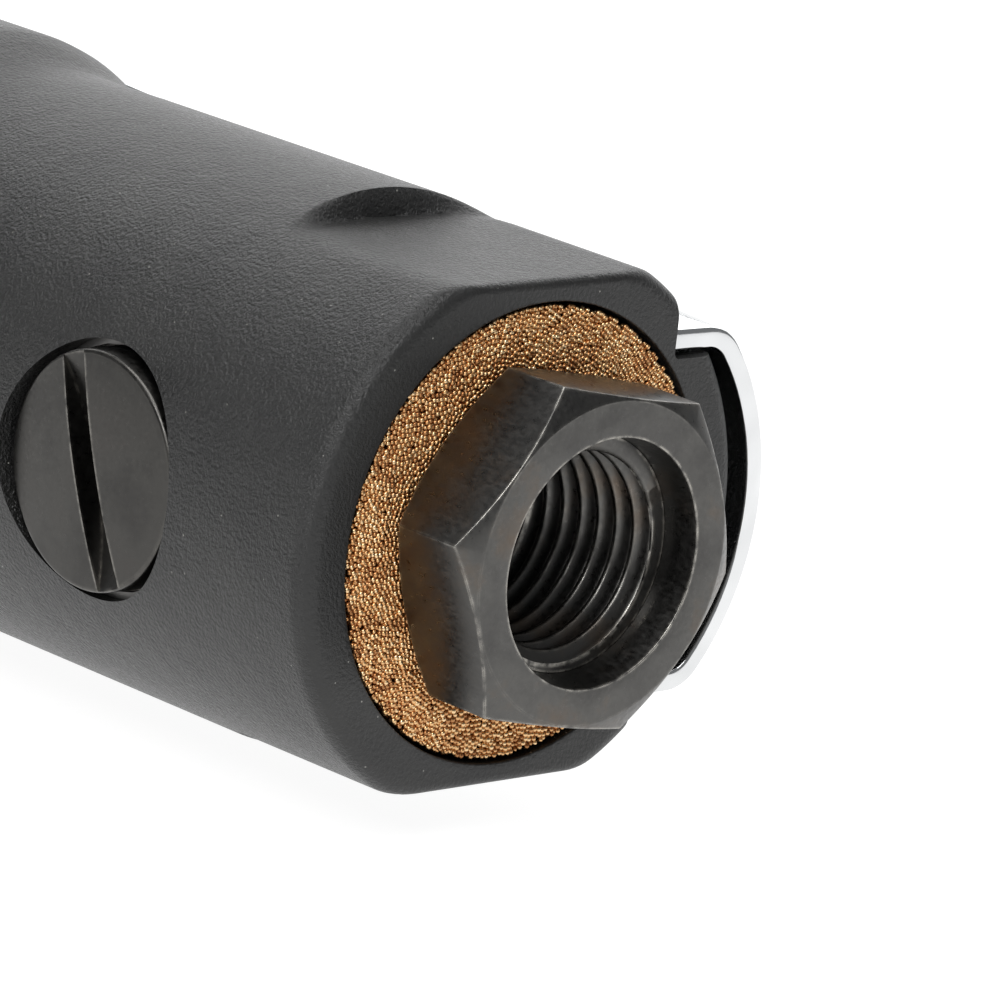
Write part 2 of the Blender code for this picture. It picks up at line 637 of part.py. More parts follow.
def build_pin_bushing(looks, at):
    low = OUTLET_CHAMBER_Y + FIT
    high = BODY_R - PIN_BUSH_SUNK
    groove = low + PIN_ORING_DEPTH
    groove_half = PIN_ORING_R + FIT
    bore = PIN_R + GAP
    profile = [(low, bore), (groove - groove_half, bore), (groove - groove_half, PIN_GROOVE_R)]
    profile += [(groove + groove_half, PIN_GROOVE_R), (groove + groove_half, bore), (high, bore)]
    profile += [(high, PIN_BUSH_R - GAP), (high - GAP, PIN_BUSH_R), (low, PIN_BUSH_R)]
    finish("pin_bushing", spun(profile, "Y", SMALL_ROUND), looks["brass"], at)
    ring_r = PIN_GROOVE_R - FIT - PIN_ORING_R
    torus("pin_oring", groove, ring_r, PIN_ORING_R, looks["rubber"], at=at)


def lever_back_y(x):
    """Outer height of the lever's back at a distance x in from the end face."""
    height = LEVER_OUTER_Y
    bend = -HINGE_X
    if x > bend:
        height += (x - bend) * math.tan(LEVER_RISE)
    lip_start = LEVER_START_X + LEVER_LENGTH - LEVER_LIP_LENGTH
    if x > lip_start:
        height += LEVER_LIP_RISE * ((x - lip_start) / LEVER_LIP_LENGTH) ** 2
    return height


def lever_grip_share(x):
    """0 over the hinge, 1 over the barrel, smooth in between."""
    share = min(max((x - LEVER_DEEP_END_X) / (LEVER_SHALLOW_X - LEVER_DEEP_END_X), 0), 1)
    return share * share * (3 - 2 * share)


def lever_half_width(x):
    short = max(1 - (x - LEVER_START_X) / LEVER_TAIL_LENGTH, 0)
    return LEVER_HALF_WIDTH - LEVER_TAIL_NARROW * short**2


def lever_section(x, inset):
    """(y, z) points over the back, from one side wall's foot to the other's.

    The walls hang deep beside the hinge. Over the barrel they shrink to a splayed lip, and the back follows
    the barrel, so that the pressed lever lies along it.
    """
    grip = lever_grip_share(x)
    half_width = lever_half_width(x)
    back_r = LEVER_BACK_R + (LEVER_GRIP_R - LEVER_BACK_R) * grip
    centre_y = lever_back_y(x) - back_r
    corner_z = half_width - LEVER_CORNER_R
    corner_y = centre_y + math.sqrt((back_r - LEVER_CORNER_R) ** 2 - corner_z**2)
    meet = math.degrees(math.atan2(corner_z, corner_y - centre_y))
    splay = math.pi / 2 - LEVER_FLARE * grip

    deep_foot = FLANGE_FOOT_Y + max(x + HINGE_X, 0) * math.tan(LEVER_RISE)
    depth = (corner_y - deep_foot) * (1 - grip) + LEVER_SHALLOW * grip
    corner = arc((corner_y, corner_z), LEVER_CORNER_R - inset, math.degrees(splay), meet, 4)
    foot = (corner[0][0] - depth * math.sin(splay), corner[0][1] + depth * math.cos(splay))
    back = arc((centre_y, 0), back_r - inset, meet, 0, 4)
    half = [foot] + corner + back[1:]
    return half + [(y, -z) for y, z in reversed(half[:-1])]


def lever_stations():
    """Places along the lever where its section is set, closer together over the bend and the tail."""
    end = LEVER_START_X + LEVER_LENGTH
    tail = [LEVER_START_X + LEVER_TAIL_LENGTH * i / 4 for i in range(5)]
    deep = [-HINGE_X, (LEVER_DEEP_END_X - HINGE_X) / 2]
    taper = [LEVER_DEEP_END_X + (LEVER_SHALLOW_X - LEVER_DEEP_END_X) * i / 6 for i in range(7)]
    lip_start = end - LEVER_LIP_LENGTH
    lip = [lip_start + LEVER_LIP_LENGTH * i / 6 for i in range(7)]
    return tail + deep + taper + [(LEVER_SHALLOW_X + lip_start) / 2] + lip


def build_lever(look):
    """Side-by-side sections bridged into a closed channel, then drilled for its hinge pin."""
    bm = bmesh.new()
    rings = []
    for x in lever_stations():
        outline = lever_section(x, 0) + lever_section(x, LEVER_SHEET)[::-1]
        rings.append([bm.verts.new((-x - HINGE_X, y - HINGE_Y, z)) for y, z in outline])
    count = len(rings[0])
    for near, far in zip(rings, rings[1:]):
        for i in range(count):
            after = (i + 1) % count
            bm.faces.new((near[i], near[after], far[after], far[i]))
    half = count // 2
    for ring in (rings[0], rings[-1]):
        for i in range(half - 1):
            bm.faces.new((ring[i], ring[i + 1], ring[count - 2 - i], ring[count - 1 - i]))
    lever = finish("lever", bm, look, (HINGE_X, HINGE_Y, 0))
    reach = 2 * LEVER_HALF_WIDTH
    hole = prism(circle(HINGE_R + FIT, SMALL_ROUND), -reach, reach, "Z")
    cut(lever, "hinge_hole", hole, (HINGE_X, HINGE_Y, 0))


def build_hinge_pin(look):
    """Rolled spring pin, with the slot that lets it close up."""
    half_length = LEVER_HALF_WIDTH + HINGE_PROUD
    outline = split_ring(HINGE_R - HINGE_WALL, HINGE_R, math.radians(40), PIN_ROUND)
    finish("lever_pin", prism(outline, -half_length, half_length, "Z"), look, (HINGE_X, HINGE_Y, 0))


def build_motor_end(looks):
    """Dowel that stops the motor from turning, and the gasket on the bore's floor."""
    floor = -MOTOR_FLOOR_X
    half = DOWEL_LENGTH / 2
    dowel = [(floor + half, 0), (floor + half, DOWEL_R - GAP), (floor + half - GAP, DOWEL_R)]
    dowel += [(floor - half + GAP, DOWEL_R), (floor - half, DOWEL_R - GAP), (floor - half, 0)]
    finish("motor_dowel", spun(dowel, steps=SMALL_ROUND, closed=False), looks["steel"], (0, -DOWEL_Y, 0))

    start = floor - FIT - GASKET_THICKNESS
    end = floor - FIT
    gasket = finish("motor_gasket", prism(circle(MOTOR_BORE_R - GAP, ROUND), start, end), looks["fibre"])
    holes = [prism(circle(EXHAUST_R + DRILL_SLACK, HOLE_ROUND, place), start - MM, end + MM)
             for place in exhaust_places()]
    holes.append(prism(circle(OUTLET_R + DRILL_SLACK, SMALL_ROUND, (OUTLET_Y, 0)), start - MM, end + MM))
    holes.append(prism(circle(DOWEL_R + FIT, HOLE_ROUND, (-DOWEL_Y, 0)), start - MM, end + MM))
    cut(gasket, "holes", joined(holes))


def build_materials():
    return {
        "cast": material("black coated aluminium", (0.02, 0.02, 0.021), 0.55, 0.0),
        "black_steel": material("black oxide steel", (0.035, 0.033, 0.031), 0.35, 0.8),
        "bronze": material("sintered bronze", (0.62, 0.33, 0.14), 0.3, 1.0),
        "chrome": material("chromed sheet steel", (0.78, 0.79, 0.8), 0.12, 1.0),
        "spring": material("spring steel", (0.32, 0.32, 0.33), 0.3, 1.0),
        "steel": material("ground steel", (0.55, 0.55, 0.56), 0.22, 1.0),
        "brass": material("brass", (0.78, 0.57, 0.22), 0.28, 1.0),
        "copper": material("copper", (0.72, 0.36, 0.22), 0.35, 1.0),
        "rubber": material("black rubber", (0.012, 0.012, 0.012), 0.6, 0.0),
        "mesh": material("stainless mesh", (0.5, 0.5, 0.5), 0.35, 1.0),
        "fibre": material("gasket fibre", (0.12, 0.17, 0.13), 0.85, 0.0),
    }


def main():
    clear_scene()
    looks = build_materials()
    build_housing(looks["cast"])
    build_inlet_bushing(looks["black_steel"])
    build_inlet_parts(looks)
    build_muffler(looks["bronze"])
    build_regulator(looks)
    build_throttle(looks)
    build_lever(looks["chrome"])
    build_hinge_pin(looks["spring"])
    build_motor_end(looks)


main()
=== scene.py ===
# %% [markdown]
# # Rear handle of an air tool, with its sintered muffler
#
# The frame that was packed from the CAD model gives every piece its place and says what moves. This
# lesson builds the surfaces that the eye meets on top of it: rounder shapes, a real thread, a few
# thousand bronze beads, and a finish for each material. Lengths are in metres, so a millimetre is written
# `* MM`.

# %% Load the frame
import json
import math

import bmesh
import bpy
import numpy as np
from mathutils import Matrix, Vector


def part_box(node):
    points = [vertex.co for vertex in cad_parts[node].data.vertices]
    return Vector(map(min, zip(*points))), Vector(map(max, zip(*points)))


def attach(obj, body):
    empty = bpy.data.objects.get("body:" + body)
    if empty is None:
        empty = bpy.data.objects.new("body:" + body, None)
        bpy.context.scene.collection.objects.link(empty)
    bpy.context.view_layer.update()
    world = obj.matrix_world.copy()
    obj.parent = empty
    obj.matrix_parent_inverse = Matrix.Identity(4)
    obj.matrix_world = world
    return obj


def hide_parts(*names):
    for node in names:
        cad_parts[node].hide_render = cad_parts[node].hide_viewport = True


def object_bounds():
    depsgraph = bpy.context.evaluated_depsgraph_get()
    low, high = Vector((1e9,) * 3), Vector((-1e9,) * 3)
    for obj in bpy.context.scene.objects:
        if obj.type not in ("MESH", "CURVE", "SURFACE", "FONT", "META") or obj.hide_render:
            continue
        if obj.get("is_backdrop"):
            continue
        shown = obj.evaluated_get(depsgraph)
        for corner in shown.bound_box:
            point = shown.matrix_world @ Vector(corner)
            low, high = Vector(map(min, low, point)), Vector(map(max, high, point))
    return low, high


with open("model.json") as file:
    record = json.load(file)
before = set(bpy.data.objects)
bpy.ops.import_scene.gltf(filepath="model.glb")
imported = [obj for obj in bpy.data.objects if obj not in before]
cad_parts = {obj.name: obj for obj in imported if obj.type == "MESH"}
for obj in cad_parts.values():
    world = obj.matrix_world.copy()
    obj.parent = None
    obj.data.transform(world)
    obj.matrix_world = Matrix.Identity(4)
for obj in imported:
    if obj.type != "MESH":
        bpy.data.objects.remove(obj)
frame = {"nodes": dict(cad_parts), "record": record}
CAD_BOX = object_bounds()
MM = 0.001

# %% [markdown]
# ## Two small tools for materials
#
# Colours are easiest to judge as the hex values of a colour picker, but a shader wants linear light, so
# one function turns one into the other. A second one adds any node, sets it up and joins it to others.
# Each material below is then a short list of nodes that can be read from its colour to its bump.

# %% Colour and node helpers
def linear(hex_colour):
    """RGBA in linear light from an sRGB value such as "c08a50"."""
    values = [int(hex_colour[i:i + 2], 16) / 255 for i in (0, 2, 4)]
    straight = [v / 12.92 if v <= 0.04045 else ((v + 0.055) / 1.055) ** 2.4 for v in values]
    return (*straight, 1.0)


def add(tree, kind, inputs=None, stops=(), **settings):
    """Adds a node. An input takes a number, a colour or another node's output; stops set a colour ramp."""
    made = tree.nodes.new(kind)
    for name, value in settings.items():
        setattr(made, name, value)
    for name, value in (inputs or {}).items():
        if isinstance(value, bpy.types.NodeSocket):
            tree.links.new(value, made.inputs[name])
        else:
            made.inputs[name].default_value = value
    for index, (position, hex_colour) in enumerate(stops):
        if index >= len(made.color_ramp.elements):
            made.color_ramp.elements.new(position)
        made.color_ramp.elements[index].position = position
        made.color_ramp.elements[index].color = linear(hex_colour)
    return made


def new_material(name):
    """An empty material, its node tree, its shader and the place on the surface in metres."""
    made = bpy.data.materials.new(name)
    made.use_nodes = True
    tree = made.node_tree
    shader = tree.nodes["Principled BSDF"]
    place = add(tree, "ShaderNodeTexCoord").outputs["Object"]
    return made, tree, shader, place


def per_metre(size):
    """The scale that makes a pattern's cells this wide."""
    return 1 / size


print("hex 808080 is", round(linear("808080")[0], 4), "in linear light")

# %% [markdown]
# ## Powder coat on cast aluminium
#
# The housing is cast aluminium with a black powder coat. Powder melts into a skin with an orange-peel
# surface, here with bumps some 0.25 mm across over a slower swell, so highlights break up into short
# streaks. It is a paint, so it isn't metallic, and dust leaves a few pale specks on it. Where the end
# face was turned after casting, the same coat lies on smooth metal, so it gets its own material with
# hardly any peel.

# %% Powder coat and satin coat
PEEL_WIDTH = 0.24 * MM
SWELL_WIDTH = 2.2 * MM
TINT_WIDTH = 6 * MM
DUST_SPACING = 1.2 * MM
SPECK_REACH = 0.045  # radius of a speck of dust, as a share of the dust's spacing
COAT_IOR = 1.52


def coat(name, peel_height, dark, light, roughness):
    """Black paint that breaks a highlight into short streaks, with a few pale specks of dust."""
    made, tree, shader, place = new_material(name)
    peel = add(tree, "ShaderNodeTexNoise", {"Vector": place, "Scale": per_metre(PEEL_WIDTH),
                                            "Detail": 3.0, "Roughness": 0.62})
    swell = add(tree, "ShaderNodeTexNoise", {"Vector": place, "Scale": per_metre(SWELL_WIDTH),
                                             "Detail": 1.0})
    height = add(tree, "ShaderNodeMath", {0: swell.outputs["Fac"], 1: 0.6, 2: peel.outputs["Fac"]},
                 operation="MULTIPLY_ADD")
    bump = add(tree, "ShaderNodeBump", {"Height": height.outputs[0], "Strength": 1.0,
                                        "Distance": peel_height})
    tint = add(tree, "ShaderNodeTexNoise", {"Vector": place, "Scale": per_metre(TINT_WIDTH), "Detail": 3.0})
    body = add(tree, "ShaderNodeValToRGB", {"Fac": tint.outputs["Fac"]},
               [(0.35, dark), (0.7, light)]).outputs["Color"]
    dust = add(tree, "ShaderNodeTexVoronoi", {"Vector": place, "Scale": per_metre(DUST_SPACING)})
    speck = add(tree, "ShaderNodeMath", {0: dust.outputs["Distance"], 1: SPECK_REACH}, operation="LESS_THAN")
    colour = add(tree, "ShaderNodeMix", {"Factor": speck.outputs[0], "A": body, "B": linear("8a8984")},
                 data_type="RGBA")
    polish = add(tree, "ShaderNodeMapRange", {"Value": peel.outputs["Fac"], "From Min": 0.3,
                                              "From Max": 0.7, "To Min": roughness - 0.05,
                                              "To Max": roughness + 0.07})
    tree.links.new(colour.outputs["Result"], shader.inputs["Base Color"])
    tree.links.new(polish.outputs[0], shader.inputs["Roughness"])
    tree.links.new(bump.outputs[0], shader.inputs["Normal"])
    shader.inputs["IOR"].default_value = COAT_IOR
    return made


powder_coat = coat("powder_coat", 0.19 * MM, "181818", "212120", 0.33)
satin_coat = coat("satin_coat", 0.07 * MM, "161616", "1e1e1d", 0.42)
print("coats:", powder_coat.name, satin_coat.name)

# %% [markdown]
# ## Black oxide steel
#
# The bushing and the regulator are turned from steel and blacked in a hot salt bath. The oxide is a film
# of a thousandth of a millimetre, so the tool marks stay, and it wears off first where a spanner touches:
# the corners shine grey. A Bevel node sees those corners, because it rounds the surface's direction
# there, and the place where the rounded and the true direction differ is where the wear goes. Thin brown
# patches are a painted reflection of the bronze ring, laid into the film's colour.

# %% Black oxide
FILM_CLOUD = 5 * MM
TOOL_MARK = 0.25 * MM
OXIDE_GRAIN = 0.12 * MM
WEAR_PATCH = 0.8 * MM
WEAR_WIDTH = 0.32 * MM
OXIDE_RELIEF = 0.004 * MM


def edge_mask(tree, width, low, high):
    """1 on outer corners and edges, 0 on plain faces."""
    rounded = add(tree, "ShaderNodeBevel", {"Radius": width}, samples=6)
    true_normal = add(tree, "ShaderNodeNewGeometry").outputs["Normal"]
    same = add(tree, "ShaderNodeVectorMath", {0: rounded.outputs[0], 1: true_normal},
               operation="DOT_PRODUCT")
    return add(tree, "ShaderNodeMapRange", {"Value": same.outputs["Value"], "From Min": high,
                                            "From Max": low, "To Min": 0.0, "To Max": 1.0}).outputs[0]


def black_oxide(name, mark_direction, dark, light, painted_reflection_tint, wear_share):
    """A dull dark metal with faint tool marks, and bright where its edges have worn through."""
    made, tree, shader, place = new_material(name)
    cloud = add(tree, "ShaderNodeTexNoise", {"Vector": place, "Scale": per_metre(FILM_CLOUD),
                                             "Detail": 5.0, "Roughness": 0.6})
    # The film's third colour is a painted reflection of the bronze ring, in random brown patches.
    film = add(tree, "ShaderNodeValToRGB", {"Fac": cloud.outputs["Fac"]},
               [(0.3, dark), (0.52, light), (0.75, painted_reflection_tint)]).outputs["Color"]
    stretch = add(tree, "ShaderNodeMapping", {"Vector": place, "Scale": mark_direction})
    marks = add(tree, "ShaderNodeTexNoise", {"Vector": stretch.outputs[0], "Scale": per_metre(TOOL_MARK),
                                             "Detail": 2.0})
    fine = add(tree, "ShaderNodeTexNoise", {"Vector": place, "Scale": per_metre(OXIDE_GRAIN), "Detail": 2.0})
    wear_noise = add(tree, "ShaderNodeTexNoise", {"Vector": place, "Scale": per_metre(WEAR_PATCH),
                                                  "Detail": 3.0})
    edges = edge_mask(tree, WEAR_WIDTH, 0.93, 0.998)
    broken = add(tree, "ShaderNodeMapRange", {"Value": wear_noise.outputs["Fac"], "From Min": 0.36,
                                              "From Max": 0.58})
    patches = add(tree, "ShaderNodeMath", {0: edges, 1: broken.outputs[0]}, operation="MULTIPLY")
    wear = add(tree, "ShaderNodeMath", {0: patches.outputs[0], 1: wear_share}, operation="MULTIPLY")
    colour = add(tree, "ShaderNodeMix", {"Factor": wear.outputs[0], "A": film, "B": linear("c2beb6")},
                 data_type="RGBA")
    polish = add(tree, "ShaderNodeMapRange", {"Value": marks.outputs["Fac"], "From Min": 0.3,
                                              "From Max": 0.7, "To Min": 0.27, "To Max": 0.42})
    height = add(tree, "ShaderNodeMath", {0: marks.outputs["Fac"], 1: 0.6, 2: fine.outputs["Fac"]},
                 operation="MULTIPLY_ADD")
    bump = add(tree, "ShaderNodeBump", {"Height": height.outputs[0], "Strength": 0.6,
                                        "Distance": OXIDE_RELIEF})
    tree.links.new(colour.outputs["Result"], shader.inputs["Base Color"])
    tree.links.new(polish.outputs[0], shader.inputs["Roughness"])
    tree.links.new(bump.outputs[0], shader.inputs["Normal"])
    shader.inputs["Metallic"].default_value = 1.0
    return made


# 675b50 is the painted brown reflection of the bronze ring on the hexagon.
blackened_hex = black_oxide("black_oxide_steel", (0.5, 1.0, 1.0), "4e4d4c", "5c5b59", "675b50", 1.0)
blackened_head = black_oxide("black_oxide_head", (1.0, 0.5, 1.0), "3f3e3d", "4a4947", "4b4947", 0.4)
print("oxide:", blackened_hex.name, blackened_head.name)

# %% [markdown]
# ## Sintered bronze
#
# The muffler ring is made of bronze beads, about a third of a millimetre across, poured into a mould and
# heated until they grow together where they touch. Each bead keeps its own tarnish, from pale gold to
# dark brown, so the colour hangs on a number that Cycles gives to each loose island of a mesh. Under the
# beads lies a bed painted dark, as painted shade in the gaps between the beads.

# %% Bronze
TARNISH = [(0.02, "543829"), (0.14, "a26f46"), (0.30, "cc9a68"), (0.62, "e4b985"), (0.95, "f6dbb0")]
TARNISH_PATCH = 3.5 * MM
BED_CELL = 0.27 * MM


def bronze_bead():
    """Warm metal whose beads differ in tarnish, so that each one can be told from its neighbours."""
    made, tree, shader, place = new_material("sintered_bronze")
    bead = add(tree, "ShaderNodeNewGeometry").outputs["Random Per Island"]
    patch = add(tree, "ShaderNodeTexNoise", {"Vector": place, "Scale": per_metre(TARNISH_PATCH),
                                             "Detail": 2.0})
    mixed = add(tree, "ShaderNodeMath", {0: patch.outputs["Fac"], 1: 0.5, 2: bead},
                operation="MULTIPLY_ADD")
    share = add(tree, "ShaderNodeMath", {0: mixed.outputs[0], 1: 1.5}, operation="DIVIDE")
    colour = add(tree, "ShaderNodeValToRGB", {"Fac": share.outputs[0]}, TARNISH).outputs["Color"]
    polish = add(tree, "ShaderNodeMapRange", {"Value": share.outputs[0], "To Min": 0.4, "To Max": 0.24})
    tree.links.new(colour, shader.inputs["Base Color"])
    tree.links.new(polish.outputs[0], shader.inputs["Roughness"])
    shader.inputs["Metallic"].default_value = 1.0
    return made


def make_painted_shade_bed():
    """The floor that shows through the gaps between the beads, painted dark as the shade there: near black
    between its cells.
    """
    made, tree, shader, place = new_material("sintered_bronze_painted_shade_bed")
    cells = add(tree, "ShaderNodeTexVoronoi", {"Vector": place, "Scale": per_metre(BED_CELL)})
    # Painted shade: the cells' middles are a mid bronze and the space between them near black.
    colour = add(tree, "ShaderNodeValToRGB", {"Fac": cells.outputs["Distance"]},
                 [(0.0, "6e4422"), (0.7, "150b05")]).outputs["Color"]
    bump = add(tree, "ShaderNodeBump", {"Height": cells.outputs["Distance"], "Strength": 1.0,
                                        "Distance": 0.1 * MM}, invert=True)
    tree.links.new(colour, shader.inputs["Base Color"])
    tree.links.new(bump.outputs[0], shader.inputs["Normal"])
    shader.inputs["Metallic"].default_value = 1.0
    shader.inputs["Roughness"].default_value = 0.5
    return made


bead_bronze = bronze_bead()
painted_shade_bed = make_painted_shade_bed()
print("bronze:", bead_bronze.name, painted_shade_bed.name)

# %% [markdown]
# ## Chrome, bright metals, rubber and fibre
#
# The lever is pressed from sheet steel and chromed, so it is nearly a mirror with the faint ripple of the
# sheet. The small inner pieces are turned brass, ground and spring steel, copper, rubber and gasket
# fibre. They share one recipe for turned metal, with a fine grain, and one for dull soft materials.

# %% Chrome, turned metals and soft materials
def chrome_plate():
    """Nearly a mirror, with the slight waviness and haze of plated sheet."""
    made, tree, shader, place = new_material("chrome_plate")
    ripple = add(tree, "ShaderNodeTexNoise", {"Vector": place, "Scale": per_metre(4 * MM), "Detail": 2.0})
    haze = add(tree, "ShaderNodeTexNoise", {"Vector": place, "Scale": per_metre(1.2 * MM), "Detail": 4.0})
    polish = add(tree, "ShaderNodeMapRange", {"Value": haze.outputs["Fac"], "From Min": 0.35,
                                              "From Max": 0.75, "To Min": 0.06, "To Max": 0.17})
    colour = add(tree, "ShaderNodeValToRGB", {"Fac": ripple.outputs["Fac"]},
                 [(0.3, "d2d3d4"), (0.7, "e2e3e4")]).outputs["Color"]
    bump = add(tree, "ShaderNodeBump", {"Height": ripple.outputs["Fac"], "Strength": 0.5,
                                        "Distance": 0.02 * MM})
    tree.links.new(colour, shader.inputs["Base Color"])
    tree.links.new(polish.outputs[0], shader.inputs["Roughness"])
    tree.links.new(bump.outputs[0], shader.inputs["Normal"])
    shader.inputs["Metallic"].default_value = 1.0
    return made


def turned_metal(name, dark, light, roughness):
    """Clean metal with a fine grain that softens its highlight."""
    made, tree, shader, place = new_material(name)
    cloud = add(tree, "ShaderNodeTexNoise", {"Vector": place, "Scale": per_metre(2.5 * MM), "Detail": 4.0})
    grain = add(tree, "ShaderNodeTexNoise", {"Vector": place, "Scale": per_metre(0.15 * MM), "Detail": 2.0})
    colour = add(tree, "ShaderNodeValToRGB", {"Fac": cloud.outputs["Fac"]},
                 [(0.3, dark), (0.7, light)]).outputs["Color"]
    polish = add(tree, "ShaderNodeMapRange", {"Value": cloud.outputs["Fac"], "From Min": 0.3,
                                              "From Max": 0.7, "To Min": roughness + 0.08,
                                              "To Max": roughness - 0.04})
    bump = add(tree, "ShaderNodeBump", {"Height": grain.outputs["Fac"], "Strength": 0.4,
                                        "Distance": 0.005 * MM})
    tree.links.new(colour, shader.inputs["Base Color"])
    tree.links.new(polish.outputs[0], shader.inputs["Roughness"])
    tree.links.new(bump.outputs[0], shader.inputs["Normal"])
    shader.inputs["Metallic"].default_value = 1.0
    return made


def soft_material(name, dark, light, grain, depth, roughness):
    """A dull surface with a grain, for rubber and fibre."""
    made, tree, shader, place = new_material(name)
    grains = add(tree, "ShaderNodeTexNoise", {"Vector": place, "Scale": per_metre(grain), "Detail": 4.0})
    colour = add(tree, "ShaderNodeValToRGB", {"Fac": grains.outputs["Fac"]},
                 [(0.35, dark), (0.65, light)]).outputs["Color"]
    bump = add(tree, "ShaderNodeBump", {"Height": grains.outputs["Fac"], "Strength": 0.7,
                                        "Distance": depth})
    tree.links.new(colour, shader.inputs["Base Color"])
    tree.links.new(bump.outputs[0], shader.inputs["Normal"])
    shader.inputs["Roughness"].default_value = roughness
    return made


WIRE_SPACING = 0.5 * MM
WAVE_REPEAT = 1 / math.pi  # a wave texture of scale 1 repeats after about this many units


def woven_mesh():
    """Wire cloth: two crossed waves for the wires, with the holes painted dark as the shade behind them."""
    made, tree, shader, place = new_material("stainless_wire_cloth")
    scale = WAVE_REPEAT * per_metre(WIRE_SPACING)
    waves = [add(tree, "ShaderNodeTexWave", {"Vector": place, "Scale": scale},
                 bands_direction=axis).outputs["Fac"] for axis in ("Y", "Z")]
    wires = add(tree, "ShaderNodeMath", {0: waves[0], 1: waves[1]}, operation="MAXIMUM")
    colour = add(tree, "ShaderNodeValToRGB", {"Fac": wires.outputs[0]},
                 [(0.45, "101010"), (0.7, "b9b9b6")]).outputs["Color"]
    bump = add(tree, "ShaderNodeBump", {"Height": wires.outputs[0], "Distance": 0.12 * MM})
    tree.links.new(colour, shader.inputs["Base Color"])
    tree.links.new(bump.outputs[0], shader.inputs["Normal"])
    shader.inputs["Metallic"].default_value = 1.0
    shader.inputs["Roughness"].default_value = 0.3
    return made


FINISHES = {
    "chromed_steel": chrome_plate(),
    "brass": turned_metal("turned_brass", "b08a45", "cba45c", 0.26),
    "copper": turned_metal("soft_copper", "a8653f", "c47f55", 0.32),
    "ground_steel": turned_metal("ground_steel", "a3a3a4", "bcbcbd", 0.22),
    "spring_steel": turned_metal("oiled_spring_steel", "5c5b5a", "7b7a78", 0.28),
    "black_rubber": soft_material("nitrile_rubber", "0e0e0e", "191918", 0.2 * MM, 0.01 * MM, 0.55),
    "gasket_fibre": soft_material("gasket_fibre", "3b4a40", "56655a", 0.35 * MM, 0.04 * MM, 0.85),
    "stainless_mesh": woven_mesh(),
    "sintered_bronze": painted_shade_bed,
    "black_oxide_steel": blackened_hex,
    "coated_aluminium": powder_coat,
}
slot_of = {entry["node"]: entry["material_slot"] for entry in frame["record"]["subparts"]}
for node_name, cad_object in frame["nodes"].items():
    cad_object.data.materials.clear()
    cad_object.data.materials.append(FINISHES[slot_of[node_name]])
print("finishes:", len(FINISHES))

# %% [markdown]
# ## Three shapes that everything is made of
#
# Nearly every piece was turned on a lathe, so a profile spun round an axis gives most of them. A flat
# outline pushed along an axis gives hexagons and slots. What a mill or a drill took away is taken away
# here too, with a Boolean that is applied at once, so no helper stays in the scene.

# %% Spin, prism and cut
def object_from(name, bm, finish=None, smooth_angle=math.radians(30)):
    bmesh.ops.remove_doubles(bm, verts=bm.verts, dist=0.0002 * MM)
    bmesh.ops.recalc_face_normals(bm, faces=bm.faces)
    mesh = bpy.data.meshes.new(name)
    bm.to_mesh(mesh)
    bm.free()
    made = bpy.data.objects.new(name, mesh)
    bpy.context.scene.collection.objects.link(made)
    if finish:
        mesh.materials.append(finish)
    mesh.shade_smooth()
    mesh.set_sharp_from_angle(angle=smooth_angle)
    return made


def spun(profile, axis="X", steps=160, closed=True):
    """A bmesh from (along, radius) points spun round the axis."""
    turn = Matrix.Rotation(math.radians(90), 4, "Z") if axis == "Y" else Matrix()
    bm = bmesh.new()
    verts = [bm.verts.new(turn @ Vector((along, radius, 0))) for along, radius in profile]
    pairs = list(zip(verts, verts[1:]))
    if closed:
        pairs.append((verts[-1], verts[0]))
    edges = [bm.edges.new(pair) for pair in pairs]
    bmesh.ops.spin(bm, geom=verts + edges, cent=(0, 0, 0), axis=turn @ Vector((1, 0, 0)),
                   angle=math.tau, steps=steps, use_merge=True)
    return bm


def prism(outline, start, end, axis="X"):
    """A bmesh from a closed outline pushed from start to end along the axis."""
    turns = {"X": Matrix(), "Y": Matrix.Rotation(math.radians(90), 4, "Z"),
             "Z": Matrix.Rotation(math.radians(-90), 4, "Y")}
    bm = bmesh.new()
    face = bm.faces.new([bm.verts.new((start, a, b)) for a, b in outline])
    moved = bmesh.ops.extrude_face_region(bm, geom=[face])
    far = [item for item in moved["geom"] if isinstance(item, bmesh.types.BMVert)]
    bmesh.ops.translate(bm, verts=far, vec=(end - start, 0, 0))
    bmesh.ops.transform(bm, matrix=turns[axis], verts=bm.verts)
    return bm


def circle(radius, steps, centre=(0, 0), phase=0.5):
    return [(centre[0] + radius * math.cos(math.tau * (i + phase) / steps),
             centre[1] + radius * math.sin(math.tau * (i + phase) / steps)) for i in range(steps)]


def arc(centre, radius, start, end, count):
    """(along, radius) points of an arc, ends included. Angles are in degrees."""
    angles = [math.radians(start + (end - start) * i / count) for i in range(count + 1)]
    return [(centre[0] + radius * math.cos(a), centre[1] + radius * math.sin(a)) for a in angles]


def bake_modifiers(target):
    """Replaces a mesh by what its modifiers make of it."""
    graph = bpy.context.evaluated_depsgraph_get()
    result = bpy.data.meshes.new_from_object(target.evaluated_get(graph))
    target.modifiers.clear()
    target.data = result


def cut(target, bm, at=(0, 0, 0), turn=(0, 0, 0), operation="DIFFERENCE"):
    tool = object_from("tool", bm)
    tool.location = at
    tool.rotation_euler = turn
    modifier = target.modifiers.new("cut", "BOOLEAN")
    modifier.operation = operation
    modifier.solver = "EXACT"
    modifier.object = tool
    bpy.context.view_layer.update()
    bake_modifiers(target)
    bpy.data.objects.remove(tool)


def soften(target, width, segments=2, angle=math.radians(24)):
    """Rounds the sharp edges, as tumbling and coating do."""
    modifier = target.modifiers.new("soft edges", "BEVEL")
    modifier.width = width
    modifier.segments = segments
    modifier.limit_method = "ANGLE"
    modifier.angle_limit = angle
    modifier.miter_outer = "MITER_ARC"
    bake_modifiers(target)
    target.data.shade_smooth()
    target.data.set_sharp_from_angle(angle=math.radians(32))


print("shape tools ready")

